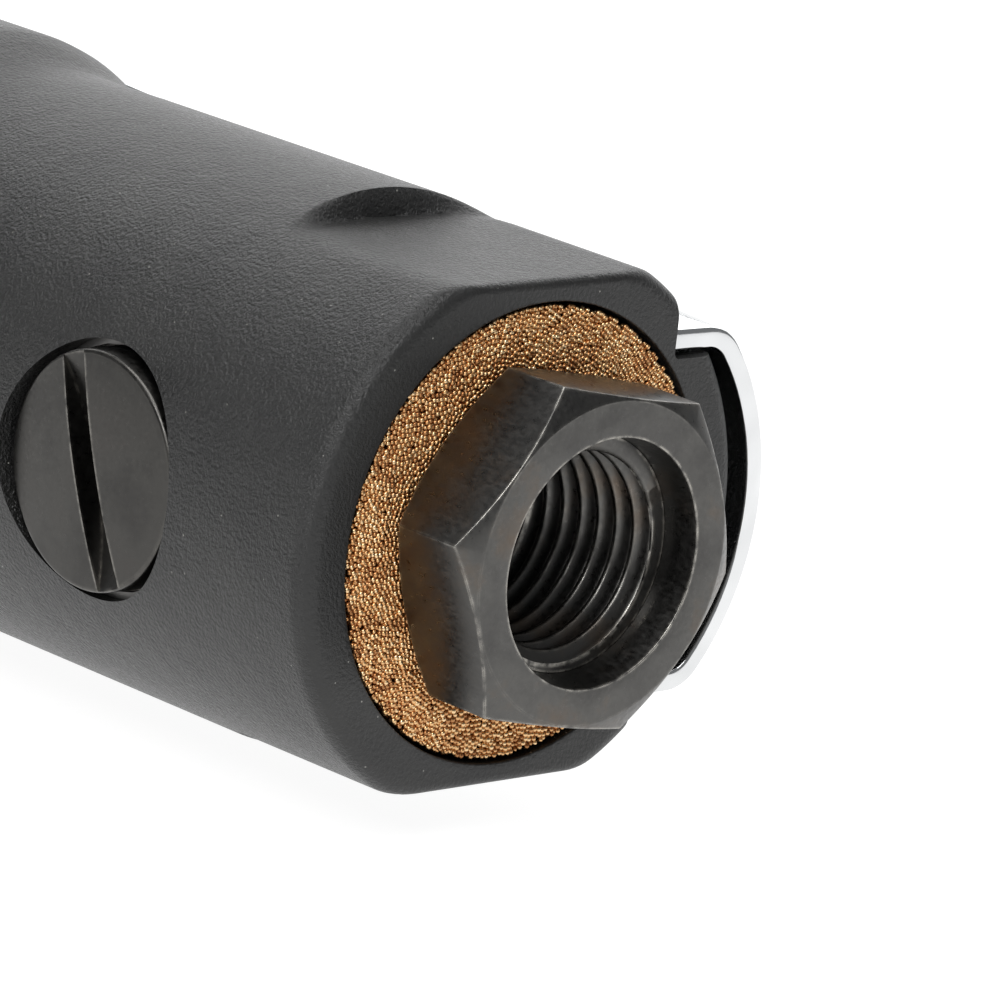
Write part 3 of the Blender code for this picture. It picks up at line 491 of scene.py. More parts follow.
# %% [markdown]
# ## The housing, from a lathe profile
#
# On the real tool the housing is a casting that was turned, drilled and milled. A profile spun round the
# tool's axis gives the body, the step up to the barrel, the ring's seat and the motor bore in one go. The
# profile has many short steps near the rear end, because the next cell presses the two wrench flats into
# those points.

# %% Housing profile
housing_low, housing_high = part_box("housing")
ring_low, ring_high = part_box("muffler_ring")
BARREL_R = housing_high.z
BODY_R = BARREL_R - 1.4 * MM
LENGTH = -housing_low.x
BORE_R = ring_high.y + 0.28 * MM
BOSS_R = 10.6 * MM
BOSS_BORE_R = 8.2 * MM
INLET_R = 4.0 * MM
RING_SEAT_X = -ring_low.x + 0.3 * MM
STEP_X = 46.0 * MM
STEP_LENGTH = 5.1 * MM
END_EDGE_R = 1.2 * MM
RING_MOUTH_R = 0.12 * MM
BOSS_FLOOR_X = 11.9 * MM
CHAMBER_DEPTH = 3.1 * MM
CHAMBER_LIP = 0.55 * MM
FRONT_EDGE_R = 0.5 * MM
JOINT_CHAMFER = 0.4 * MM
JOINT_DEPTH = 14.0 * MM
JOINT_WALL = 2.0 * MM
MOTOR_WALL = 2.6 * MM
FLAT_LENGTH = 14.6 * MM


def even(start, end, spacing):
    """Values from start to end, about this far apart, without the last."""
    count = max(1, round(abs(end - start) / spacing))
    return [start + (end - start) * i / count for i in range(count)]


# Where the profile has a point near the flats' end wall, in mm from it
WALL_STATIONS = (-1.5, -1.1, -0.8, -0.55, -0.35, -0.22, -0.1, 0, 0.1, 0.22, 0.35, 0.55, 0.8, 1.1, 1.5)


def housing_profile():
    chamber_x = RING_SEAT_X + CHAMBER_DEPTH
    chamber_r = BORE_R - CHAMBER_LIP
    profile = [(VALVE_X, 0), (VALVE_X, INLET_R), (-BOSS_FLOOR_X, INLET_R), (-BOSS_FLOOR_X, BOSS_BORE_R)]
    profile += [(-RING_SEAT_X, BOSS_BORE_R), (-RING_SEAT_X, BOSS_R), (-chamber_x, BOSS_R)]
    profile += [(-chamber_x, chamber_r), (-RING_SEAT_X, chamber_r), (-RING_SEAT_X, BORE_R)]
    profile += arc((-RING_MOUTH_R, BORE_R + RING_MOUTH_R), RING_MOUTH_R, -90, 0, 3)
    profile += [(0, r) for r in even(BORE_R + 0.4 * MM, BODY_R - END_EDGE_R, 0.35 * MM)]
    profile += arc((-END_EDGE_R, BODY_R - END_EDGE_R), END_EDGE_R, 0, 90, 10)
    wall = [FLAT_LENGTH + offset * MM for offset in WALL_STATIONS]
    rings = even(END_EDGE_R + 0.8 * MM, wall[0], 0.8 * MM) + wall + even(wall[-1] + MM, STEP_X, 2 * MM)
    profile += [(-x, BODY_R) for x in rings]
    for share in (0, 0.06, 0.3, 0.6, 0.85, 1):
        rise = (BARREL_R - BODY_R) * share * share * (3 - 2 * share)
        profile.append((-STEP_X - STEP_LENGTH * share, BODY_R + rise))
    profile += [(-x, BARREL_R) for x in even(STEP_X + STEP_LENGTH + 3 * MM, LENGTH - MM, 6 * MM)]
    profile += arc((-LENGTH + FRONT_EDGE_R, BARREL_R - FRONT_EDGE_R), FRONT_EDGE_R, 90, 180, 4)
    joint_r = BODY_R - JOINT_WALL
    motor_r = BODY_R - MOTOR_WALL
    joint_end = -LENGTH + JOINT_DEPTH
    profile += [(-LENGTH, joint_r + JOINT_CHAMFER), (-LENGTH + JOINT_CHAMFER, joint_r), (joint_end, joint_r)]
    profile += [(joint_end, motor_r), (MOTOR_FLOOR_X, motor_r), (MOTOR_FLOOR_X, 0)]
    return profile


valve_low, valve_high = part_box("throttle_valve")
dowel_low, dowel_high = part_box("motor_dowel")
VALVE_X = (valve_low.x + valve_high.x) / 2
MOTOR_FLOOR_X = (dowel_low.x + dowel_high.x) / 2
housing = object_from("housing_shell", spun(housing_profile(), steps=224, closed=False), powder_coat)
print("housing points:", len(housing.data.vertices), "valve at", round(VALVE_X / MM, 2), "mm")

# %% [markdown]
# ## Wrench flats with soft edges
#
# The two flats could be cut with a box, but a cast flat melts into the round body over a fraction of a
# millimetre, and its end wall has a softer edge still. So the points above the flat are brought down by a
# soft minimum: it is the lower of two heights, rounded where they come within the blend of each other.
# Past the flat's end the limit rises steeply, which leaves the wall. It rises less steeply away from the
# middle, so the wall fades out at both tips. The flat slopes by less than a degree, which is the draft
# that lets a casting leave its mould.

# %% Press the flats in
FLAT_Z = BODY_R - 1.85 * MM
FLAT_BLEND = 0.5 * MM
WALL_BLEND = 1.3 * MM
WALL_BLEND_LENGTH = 3 * MM
FLAT_DRAFT = 0.2 * MM
FLAT_EDGE_R = 0.55 * MM
FLAT_WALL_HALF = 0.22 * MM
FLAT_WALL_RISE = 3.5 * MM
FLAT_WALL_FADE = 1.3 * MM
FLAT_HALF_WIDTH = math.sqrt(BODY_R ** 2 - FLAT_Z ** 2)


def soft_minimum(a, b, blend):
    overlap = max(blend - abs(a - b), 0)
    return min(a, b) - overlap ** 2 / (4 * blend)


def ramp_up(x, start, width):
    """0 before the start, 1 after start and width, smooth in between. It runs in from the end face."""
    share = min(max((-x - start) / width, 0), 1)
    return share * share * (3 - 2 * share)


def flat_height(x, y):
    """Height of the flat: rounded off at the end face, and out of reach past the flat's end wall."""
    into_edge = max(0, x + FLAT_EDGE_R)
    height = FLAT_Z - FLAT_EDGE_R + math.sqrt(FLAT_EDGE_R ** 2 - into_edge ** 2)
    height += FLAT_DRAFT * min(-x / FLAT_LENGTH, 1)
    half = FLAT_WALL_HALF + FLAT_WALL_FADE * (y / FLAT_HALF_WIDTH) ** 2
    return height + FLAT_WALL_RISE * ramp_up(x, FLAT_LENGTH - half, 2 * half)


pressed = 0
for vert in housing.data.vertices:
    radius = math.hypot(vert.co.y, vert.co.z)
    if vert.co.x > -FLAT_LENGTH - 2 * MM and radius > BORE_R + 0.2 * MM:
        near_wall = ramp_up(vert.co.x, FLAT_LENGTH - WALL_BLEND_LENGTH, WALL_BLEND_LENGTH)
        blend = FLAT_BLEND + (WALL_BLEND - FLAT_BLEND) * near_wall
        height = soft_minimum(abs(vert.co.z), flat_height(vert.co.x, vert.co.y), blend)
        pressed += abs(vert.co.z) - height > 0.1 * MM
        vert.co.z = math.copysign(height, vert.co.z)
print("points pressed into the flats:", pressed)

# %% [markdown]
# ## What was drilled and milled
#
# The cross bore holds the throttle valve and opens as a pocket round the regulator's head. Two rabbets
# make room for the lever's side walls, which leaves a raised boss between them. Exhaust air leaves the
# motor through six drillings that end in the chamber behind the bronze ring.

# %% Cut the housing
pin_low, pin_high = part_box("lever_pin")
HINGE = Vector(((pin_low.x + pin_high.x) / 2, (pin_low.y + pin_high.y) / 2, 0))
POCKET_R = 7.5 * MM
POCKET_FLOOR_Y = -12.0 * MM
VALVE_BORE_R = 5.6 * MM
SEAT_FLOOR_Y = 4.4 * MM
RABBET_Y = BODY_R - 6.4 * MM
RABBET_Z = 9.35 * MM
RABBET_LENGTH = 41.0 * MM
RABBET_CORNER_R = 0.4 * MM
PIN_BORE_R = 4.2 * MM
PIN_BORE_END_Y = 11.0 * MM
PIN_HOLE_R = 3.6 * MM
EXHAUST_ANGLES = (40, 90, 140, 220, 270, 320)
EXHAUST_CIRCLE_R = 11.75 * MM
EXHAUST_R = 1.4 * MM
EXHAUST_START_X = -9.0 * MM
OUTLET_R = 2.6 * MM
OUTLET_Y = 8.0 * MM
DOWEL_HOLE_R = 1.4 * MM
PAST = 2.0 * MM  # how far a cutter runs past the face that it opens


def rounded_rectangle(low, high, radius):
    """The outline of a milled pocket from its two opposite (y, z) corners, with its corners rounded."""
    outline = []
    corners = [(high[0], high[1], 0), (low[0], high[1], 90), (low[0], low[1], 180), (high[0], low[1], 270)]
    for y, z, start in corners:
        centre = (y - math.copysign(radius, y - (low[0] + high[0]) / 2),
                  z - math.copysign(radius, z - (low[1] + high[1]) / 2))
        outline += arc(centre, radius, start, start + 90, 4)
    return outline


clip_low, clip_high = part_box("regulator_clip")
groove_r = clip_high.z + 0.15 * MM
pocket = [(-BODY_R - PAST, 0), (-BODY_R - PAST, POCKET_R), (clip_low.y - 0.1 * MM, POCKET_R)]
pocket += [(clip_low.y - 0.1 * MM, groove_r), (clip_high.y + 0.1 * MM, groove_r)]
pocket += [(clip_high.y + 0.1 * MM, POCKET_R), (POCKET_FLOOR_Y, POCKET_R), (POCKET_FLOOR_Y, VALVE_BORE_R)]
pocket += [(SEAT_FLOOR_Y, VALVE_BORE_R), (SEAT_FLOOR_Y, PIN_BORE_R), (PIN_BORE_END_Y, PIN_BORE_R)]
pocket += [(PIN_BORE_END_Y, PIN_HOLE_R), (BODY_R + PAST, PIN_HOLE_R), (BODY_R + PAST, 0)]
cut(housing, spun(pocket, "Y", 128, closed=False), at=(VALVE_X, 0, 0))
for side in (-1, 1):
    corners = sorted((side * RABBET_Z, side * 2 * BODY_R))
    outline = rounded_rectangle((RABBET_Y, corners[0]), (2 * BODY_R, corners[1]), RABBET_CORNER_R)
    cut(housing, prism(outline, -RABBET_LENGTH, PAST))
for turn in EXHAUST_ANGLES:
    angle = math.radians(turn)
    centre = (EXHAUST_CIRCLE_R * math.cos(angle), EXHAUST_CIRCLE_R * math.sin(angle))
    cut(housing, prism(circle(EXHAUST_R, 24, centre), EXHAUST_START_X, MOTOR_FLOOR_X - MM))
cut(housing, prism(circle(OUTLET_R, 32, (OUTLET_Y, 0)), VALVE_X, MOTOR_FLOOR_X - MM))
dowel_y = (dowel_low.y + dowel_high.y) / 2
cut(housing, prism(circle(DOWEL_HOLE_R, 24, (dowel_y, 0)), dowel_high.x + 0.3 * MM, MOTOR_FLOOR_X - MM))
hinge_r = (pin_high.x - pin_low.x) / 2 + 0.1 * MM
cut(housing, prism(circle(hinge_r, 32), -BODY_R, BODY_R, "Z"), at=HINGE)
housing.data.shade_smooth()
housing.data.set_sharp_from_angle(angle=math.radians(35))
print("housing faces after milling:", len(housing.data.polygons))

# %% [markdown]
# ## Two finishes on one casting
#
# The end face, its rounded edge and the mouth were turned smooth before coating, so those faces take the
# satin coat. Everything else keeps the peel of the powder.

# %% Satin faces on the housing
SATIN_EDGE = 0.35 * MM
SATIN_DEPTH = 12 * MM

housing.data.materials.append(satin_coat)
satin_count = 0
for polygon in housing.data.polygons:
    centre = polygon.center
    on_end_face = centre.x > -SATIN_EDGE and polygon.normal.x > 0.5
    in_mouth = math.hypot(centre.y, centre.z) < BORE_R + 0.05 * MM and centre.x > -SATIN_DEPTH
    if on_end_face or in_mouth:
        polygon.material_index = 1
        satin_count += 1
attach(housing, "handle")
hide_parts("housing")
print("satin faces:", satin_count)

# %% [markdown]
# ## The hexagonal inlet bushing
#
# It is turned from hexagon bar: a 30 degree cone takes the six corners off at each end, which leaves the
# curved lines where the cones meet the flats. Behind the hexagon a round neck goes down into the housing.
# The hexagon is a prism, the cones and the bore are cut from it, and a small bevel breaks the edges as
# tumbling does.

# %% Bushing body
bushing_low, bushing_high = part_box("inlet_bushing")
HEX_FRONT = bushing_high.x
HEX_BACK = 0.12 * MM
HEX_FACE_R = 9.5 * MM
HEX_TURN = 50.5  # degrees
NECK_R = 7.9 * MM
MOUTH_R = 6.95 * MM
MOUTH_DEPTH = 2.3 * MM
MOUTH_FLARE = 0.3 * MM
CONE_INSET = 0.1 * MM
NECK_CHAMFER = 0.5 * MM
SCREEN_POCKET_R = 5.6 * MM
SCREEN_POCKET_DEPTH = 3.2 * MM
SCREEN_LEDGE_R = 4.6 * MM
BUSHING_EDGE_R = 0.17 * MM
PORT_FLOOR_X = HEX_FRONT - 12.0 * MM
THREAD_BORE_R = 6.92 * MM

corner_r = HEX_FACE_R * 2 / math.sqrt(3)
bushing = object_from("hex_bushing", prism(circle(corner_r, 6, phase=HEX_TURN / 60), HEX_BACK, HEX_FRONT))
drop = (corner_r + MM - HEX_FACE_R) * math.tan(math.radians(30))
for face_x, outward in ((HEX_FRONT, 1), (HEX_BACK, -1)):
    cone_r = HEX_FACE_R - CONE_INSET
    cone = [(face_x, cone_r), (face_x + outward * MM, cone_r), (face_x + outward * MM, corner_r + MM)]
    cut(bushing, spun(cone + [(face_x - outward * drop, corner_r + MM)], steps=180))
stem = [(HEX_BACK + MM, 0), (HEX_BACK + MM, NECK_R)]
stem += [(bushing_low.x + NECK_CHAMFER, NECK_R), (bushing_low.x, NECK_R - NECK_CHAMFER), (bushing_low.x, 0)]
cut(bushing, spun(stem, steps=128, closed=False), operation="UNION")

pocket_end = PORT_FLOOR_X - SCREEN_POCKET_DEPTH
flared_r = MOUTH_R + MOUTH_FLARE
bore = [(HEX_FRONT + PAST, 0), (HEX_FRONT + PAST, flared_r), (HEX_FRONT, flared_r)]
bore += [(HEX_FRONT - MOUTH_DEPTH, MOUTH_R), (PORT_FLOOR_X, MOUTH_R), (PORT_FLOOR_X, SCREEN_POCKET_R)]
bore += [(pocket_end, SCREEN_POCKET_R), (pocket_end, SCREEN_LEDGE_R), (bushing_low.x - PAST, SCREEN_LEDGE_R)]
bore += [(bushing_low.x - PAST, 0)]
cut(bushing, spun(bore, steps=128, closed=False))
soften(bushing, BUSHING_EDGE_R, segments=3)
bushing.data.materials.clear()
bushing.data.materials.append(blackened_hex)
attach(bushing, "handle")
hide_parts("inlet_bushing")
print("bushing faces:", len(bushing.data.polygons))

# %% [markdown]
# ## A real tapered thread
#
# A quarter-inch pipe thread has 18 crests to the inch on a bore that narrows by one in sixteen. The
# surface is a grid over depth and angle. Its radius rises and falls once per pitch, and the angle shifts
# that wave, so the crests run as one helix instead of as rings. A smooth wave with a little clipping
# gives the rounded crests that a tap leaves.

# %% Hose thread
THREAD_PITCH = 25.4 * MM / 18
THREAD_TAPER = 1 / 32
THREAD_ROOT_R = 6.72 * MM
THREAD_HEIGHT = 0.86 * MM
ROOT_FLAT = 0.1  # share of the wave that stays at the root
FLANK_SHARE = 0.74
FLANK_ROUNDING = 0.35
RUN_IN_HEIGHT = 0.8  # how high the first crest starts
THREAD_START = HEX_FRONT - MOUTH_DEPTH


def thread_radius(depth, turn):
    """Radius of the thread's surface at a depth from its start. Turn is the angle as a share of a circle."""
    wave = abs(((depth / THREAD_PITCH - turn) % 1) * 2 - 1)
    flank = min(max((wave - ROOT_FLAT) / FLANK_SHARE, 0), 1)
    crest = flank * flank * (3 - 2 * flank) * FLANK_ROUNDING + flank * (1 - FLANK_ROUNDING)
    run_in = min(1, RUN_IN_HEIGHT + depth / THREAD_PITCH)
    return THREAD_ROOT_R - THREAD_TAPER * depth - THREAD_HEIGHT * crest * run_in


def ring_of_verts(bm, x, radii):
    turns = [math.tau * i / len(radii) for i in range(len(radii))]
    return [bm.verts.new((x, r * math.cos(turn), r * math.sin(turn))) for r, turn in zip(radii, turns)]


def thread_sleeve(around=144, per_pitch=16):
    bm = bmesh.new()
    length = THREAD_START - PORT_FLOOR_X
    rows = round(length / THREAD_PITCH * per_pitch)
    rings = []
    for row in range(rows + 1):
        depth = length * row / rows
        radii = [thread_radius(depth, i / around) for i in range(around)]
        rings.append(ring_of_verts(bm, THREAD_START - depth, radii))
    for x in (PORT_FLOOR_X, THREAD_START):
        rings.append(ring_of_verts(bm, x, [THREAD_BORE_R] * around))
    for near, far in zip(rings, rings[1:] + rings[:1]):
        for i in range(around):
            after = (i + 1) % around
            bm.faces.new((near[i], near[after], far[after], far[i]))
    return bm


thread = object_from("hose_thread", thread_sleeve(), blackened_hex, math.radians(50))
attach(thread, "handle")
print("thread crests:", round((THREAD_START - PORT_FLOOR_X) / THREAD_PITCH, 1))

# %% [markdown]
# ## Bronze beads
#
# A bump pattern can fake beads from afar, but close up each bead has its own highlight and its own shadow
# beside it. So the ring's face is laid with real domes. Their places start on a honeycomb, are shaken,
# and then push each other apart a few times, which gives the loose packing of poured beads. A second
# layer sits half a bead deeper and fills the gaps.

# %% Places of the beads
BEAD_R = 0.17 * MM
BEAD_SPACING = 1.92 * BEAD_R
RING_FRONT_X = ring_high.x
BEADS_INNER_R = NECK_R + 0.5 * MM
BEADS_OUTER_R = ring_high.y - 0.08 * MM
LARGEST_BEAD = 1.18  # radius, as a share of the usual one
SMALLEST_BEAD = 0.68
KEY_STRIDE = 10007  # keeps the keys of two cells apart: more than there are cells across
shake = np.random.default_rng(7)


def honeycomb(spacing, inner, outer):
    rows = int(outer / (spacing * math.sqrt(3) / 2)) + 1
    points = [((column + 0.5 * (row % 2)) * spacing, row * spacing * math.sqrt(3) / 2)
              for row in range(-rows, rows + 1) for column in range(-rows - 1, rows + 2)]
    return np.array([p for p in points if inner < math.hypot(*p) < outer])


def push_apart(points, spacing, rounds):
    """Moves points that are closer than the spacing away from each other, and keeps them in the ring."""
    for _ in range(rounds):
        cell = np.floor(points / spacing).astype(int)
        key = cell[:, 0] * KEY_STRIDE + cell[:, 1]
        order = np.argsort(key, kind="stable")
        ordered = key[order]
        move = np.zeros_like(points)
        for step in ((0, 0), (0, 1), (1, -1), (1, 0), (1, 1)):
            wanted = key + step[0] * KEY_STRIDE + step[1]
            first = np.searchsorted(ordered, wanted, "left")
            last = np.searchsorted(ordered, wanted, "right")
            for slot_index in range(int((last - first).max())):
                here = np.nonzero(first + slot_index < last)[0]
                other = order[first[here] + slot_index]
                if step == (0, 0):
                    keep = other > here
                    here, other = here[keep], other[keep]
                gap = points[here] - points[other]
                distance = np.maximum(np.linalg.norm(gap, axis=1), 1e-9)
                push = np.maximum(spacing - distance, 0) * 0.5 / distance
                np.add.at(move, here, gap * push[:, None])
                np.add.at(move, other, -gap * push[:, None])
        points = points + 0.6 * move
        radius = np.linalg.norm(points, axis=1)
        kept = np.clip(radius, BEADS_INNER_R, BEADS_OUTER_R)
        points = points * (kept / radius)[:, None]
    return points


def bead_places():
    grid = honeycomb(BEAD_SPACING, BEADS_INNER_R, BEADS_OUTER_R)
    shaken = grid + shake.normal(0, 0.42 * BEAD_SPACING, grid.shape)
    return push_apart(shaken, BEAD_SPACING * 0.98, 14)


top_layer = bead_places()
deep_layer = bead_places()
print("beads in each layer:", len(top_layer), "at", round(2 * BEAD_R / MM, 2), "mm across")

# %% [markdown]
# ## Beads as meshes
#
# One dome has a pole and four rings of points, which is enough for a bead this small once it is smooth
# shaded. numpy copies it to every place at once. Beads differ a little in size and depth, and each layer
# is split into pieces so that none grows too heavy.

# %% Build the bead layers
DOME_AROUND = 9
DOME_TILTS = (26, 52, 78, 112)


def dome():
    """Points (out, y, z) and faces of a dome of radius 1. Out is away from the ring."""
    points = [(1.0, 0.0, 0.0)]
    for tilt in DOME_TILTS:
        for i in range(DOME_AROUND):
            angle = math.tau * i / DOME_AROUND
            reach = math.sin(math.radians(tilt))
            points.append((math.cos(math.radians(tilt)), reach * math.cos(angle), reach * math.sin(angle)))
    faces = []
    for i in range(DOME_AROUND):
        after = (i + 1) % DOME_AROUND
        faces.append((0, 1 + i, 1 + after))
        for ring in range(len(DOME_TILTS) - 1):
            near, far = 1 + ring * DOME_AROUND, 1 + (ring + 1) * DOME_AROUND
            faces.append((near + i, far + i, far + after))
            faces.append((near + i, far + after, near + after))
    return np.array(points), np.array(faces)


def bead_piece(name, places, depth):
    base_points, base_faces = dome()
    count = len(places)
    size = BEAD_R * np.clip(shake.normal(0.98, 0.13, count), SMALLEST_BEAD, LARGEST_BEAD)
    sunk = depth + np.abs(shake.normal(0, 0.2 * BEAD_R, count))
    points = base_points[None] * size[:, None, None]
    points[:, :, 0] += RING_FRONT_X - BEAD_R * LARGEST_BEAD - sunk[:, None]
    points[:, :, 1:] += places[:, None, :]
    faces = base_faces[None] + (np.arange(count) * len(base_points))[:, None, None]
    mesh = bpy.data.meshes.new(name)
    mesh.from_pydata(points.reshape(-1, 3).tolist(), [], faces.reshape(-1, 3).tolist())
    mesh.materials.append(bead_bronze)
    mesh.shade_smooth()
    made = bpy.data.objects.new(name, mesh)
    bpy.context.scene.collection.objects.link(made)
    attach(made, "handle")
    return len(mesh.polygons)


for layer, (places, depth) in enumerate(((top_layer, 0), (deep_layer, 0.9 * BEAD_R))):
    for side, half in enumerate((places[places[:, 1] < 0], places[places[:, 1] >= 0])):
        print("beads", layer, side, bead_piece(f"bronze_beads_{layer}_{side}", half, depth), "faces")

# %% [markdown]
# ## The bed under the beads
#
# Below the second layer nothing can be told apart, so a plain ring fills the space. Its face lies 1.3
# beads deep, and its outer corner is rounded like the moulded ring's.

# %% Ring body
bed_x = RING_FRONT_X - 2.6 * BEAD_R
ring_inner_r = NECK_R + 0.28 * MM
bed = [(bed_x, ring_inner_r), (ring_low.x, ring_inner_r), (ring_low.x, ring_high.y)]
bed += arc((bed_x - 0.2 * MM, ring_high.y - 0.2 * MM), 0.2 * MM, 90, 0, 4)
ring_bed = object_from("bronze_ring_bed", spun(bed, steps=144), painted_shade_bed)
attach(ring_bed, "handle")
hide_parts("muffler_ring")
print("bed starts", round(-bed_x / MM, 2), "mm inside the end face")

# %% [markdown]
# ## The regulator
#
# A turning cup meters the air. Its crowned head carries a slot that a disc cutter leaves, so the slot is
# deepest at its middle and runs out at the rim. The same way of making it works here: a thin disc is
# taken out of the crowned head.

# %% Regulator
head_low, head_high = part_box("regulator")
HEAD_R = 6.95 * MM
HEAD_CROWN = 0.5 * MM
SLOT_WIDTH = 1.8 * MM
SLOT_DEPTH = 1.7 * MM
SLOT_CUTTER_R = 20.0 * MM
SLOT_TURN = math.radians(21.7)
CUP_R = 5.3 * MM
CUP_INNER_R = 4.1 * MM
RIM_R = 0.25 * MM
RIM_DROP = 0.2 * MM
FLANGE_R = 7.2 * MM
FLANGE_THICKNESS = 0.8 * MM
FLANGE_GAP = 0.95 * MM
GROOVE_HALF = 0.75 * MM
GROOVE_DEPTH = 1.0 * MM
CUP_DEPTH = 6.0 * MM
WINDOW_HALF = 3.6 * MM
WINDOW_SHAPE = 0.6  # how long the window is along the cup, as a share of its width
WINDOW_PLACE = 3.7 * MM

crown_r = (HEAD_R ** 2 + HEAD_CROWN ** 2) / (2 * HEAD_CROWN)
crown_centre_y = head_low.y + crown_r
face_radii = even(0, HEAD_R - RIM_R, 0.4 * MM)
profile = [(crown_centre_y - math.sqrt(crown_r ** 2 - r ** 2), r) for r in face_radii]
profile += arc((head_low.y + HEAD_CROWN + RIM_DROP, HEAD_R - RIM_R), RIM_R, 180, 90, 4)
flange_y = POCKET_FLOOR_Y - FLANGE_GAP
profile += [(flange_y, HEAD_R), (flange_y, FLANGE_R), (flange_y + FLANGE_THICKNESS, FLANGE_R)]
profile += [(flange_y + FLANGE_THICKNESS, CUP_R)]
for ring_name in ("regulator_oring_outer", "regulator_oring_inner"):
    oring_low, oring_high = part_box(ring_name)
    middle = (oring_low.y + oring_high.y) / 2
    start, end = middle - GROOVE_HALF, middle + GROOVE_HALF
    floor_r = CUP_R - GROOVE_DEPTH
    profile += [(start, CUP_R), (start, floor_r), (end, floor_r), (end, CUP_R)]
cup_floor_y = POCKET_FLOOR_Y + CUP_DEPTH
profile += [(head_high.y, CUP_R), (head_high.y, CUP_INNER_R), (cup_floor_y, CUP_INNER_R), (cup_floor_y, 0)]
regulator = object_from("regulator_head", spun(profile, "Y", 144, closed=False))
regulator.location = (VALVE_X, 0, 0)
bpy.context.view_layer.update()
window = [(cup_floor_y + WINDOW_PLACE + WINDOW_HALF * a * WINDOW_SHAPE, WINDOW_HALF * b)
          for a, b in ((-1, -1), (1, -1), (1, 1), (-1, 1))]
cut(regulator, prism(window, 0, CUP_R + MM), at=(VALVE_X, 0, 0))
disc = prism(circle(SLOT_CUTTER_R, 200), -SLOT_WIDTH / 2, SLOT_WIDTH / 2)
cut(regulator, disc, at=(VALVE_X, head_low.y + SLOT_DEPTH - SLOT_CUTTER_R, 0), turn=(0, -SLOT_TURN, 0))
regulator.data.shade_smooth()
regulator.data.set_sharp_from_angle(angle=math.radians(30))
regulator.data.materials.clear()
regulator.data.materials.append(blackened_head)
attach(regulator, "air_regulator")
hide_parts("regulator")
print("slot", SLOT_WIDTH / MM, "mm wide and", SLOT_DEPTH / MM, "mm deep")

# %% [markdown]
# ## The lever
#
# The lever is pressed from 1.2 mm sheet: a domed back with two side walls that hang over the hinge and
# shrink to a splayed lip over the barrel. It is built as sections set side by side, like the frames of a
# boat. The sheet's cut edges are rounded by starting and ending with thinner sections, and by a half
# round at each foot.

# %% Lever sections
_, lever_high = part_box("lever")
SHEET = 1.2 * MM
SHEET_EDGE = 0.2 * MM
LEVER_HALF = 11.2 * MM
LEVER_BACK_R = 15.5 * MM
LEVER_CORNER_R = 3.0 * MM
LEVER_BACK_Y = BODY_R + 2.7 * MM
LEVER_RISE = math.radians(7.5)
LEVER_START_X = -lever_high.x
LEVER_LENGTH = 96.0 * MM
LEVER_END_X = LEVER_START_X + LEVER_LENGTH
LIP_LENGTH = 14.0 * MM
LIP_RISE = 4.0 * MM
DEEP_END_X = 27.0 * MM
SHALLOW_X = 38.0 * MM
SHALLOW = 0.5 * MM
FLARE = math.radians(40)
TAIL_NARROW = 0.35 * MM
TAIL_LENGTH = 5.0 * MM
FOOT_CLEARANCE = 0.4 * MM


def back_height(x):
    height = LEVER_BACK_Y + max(0, x + HINGE.x) * math.tan(LEVER_RISE)
    lip = max(0, x - LEVER_END_X + LIP_LENGTH) / LIP_LENGTH
    return height + LIP_RISE * lip ** 2


def lever_half(x, inset):
    """(y, z) points from one wall's foot up to the middle of the back, at a depth in the sheet."""
    share = min(max((x - DEEP_END_X) / (SHALLOW_X - DEEP_END_X), 0), 1)
    grip = share * share * (3 - 2 * share)
    half_width = LEVER_HALF - TAIL_NARROW * max(1 - (x - LEVER_START_X) / TAIL_LENGTH, 0) ** 2
    back_r = LEVER_BACK_R + (LEVER_BACK_Y - LEVER_BACK_R) * grip
    centre_y = back_height(x) - back_r
    corner_z = half_width - LEVER_CORNER_R
    corner_y = centre_y + math.sqrt((back_r - LEVER_CORNER_R) ** 2 - corner_z ** 2)
    meet = math.degrees(math.atan2(corner_z, corner_y - centre_y))
    splay = math.pi / 2 - FLARE * grip
    deep_foot = RABBET_Y + FOOT_CLEARANCE + max(x + HINGE.x, 0) * math.tan(LEVER_RISE)
    depth = (corner_y - deep_foot) * (1 - grip) + SHALLOW * grip
    lift = max(0, abs(inset - SHEET / 2) - SHEET / 2 + SHEET_EDGE)
    depth -= SHEET_EDGE - math.sqrt(max(SHEET_EDGE ** 2 - lift ** 2, 0))
    corner = arc((corner_y, corner_z), LEVER_CORNER_R - inset, math.degrees(splay), meet, 10)
    foot = (corner[0][0] - depth * math.sin(splay), corner[0][1] + depth * math.cos(splay))
    return [foot] + corner + arc((centre_y, 0), back_r - inset, meet, 0, 12)[1:]


def lever_ring(x, trim):
    """The closed outline of the sheet at x. Trim thins it from both sides."""
    def whole(inset):
        half = lever_half(x, inset)
        return half + [(y, -z) for y, z in reversed(half[:-1])]

    steps = [trim + (SHEET_EDGE - trim) * share for share in (0, 0.35, 0.7)] if trim < SHEET_EDGE else [trim]
    feet = [SHEET_EDGE] if trim < SHEET_EDGE else []
    across = steps[1:] + feet
    far_foot = [lever_half(x, inset)[0] for inset in across + [SHEET - inset for inset in reversed(across)]]
    outer, inner = whole(trim), whole(SHEET - trim)
    right = [(y, -z) for y, z in far_foot]
    return outer + right + inner[::-1] + far_foot[::-1]


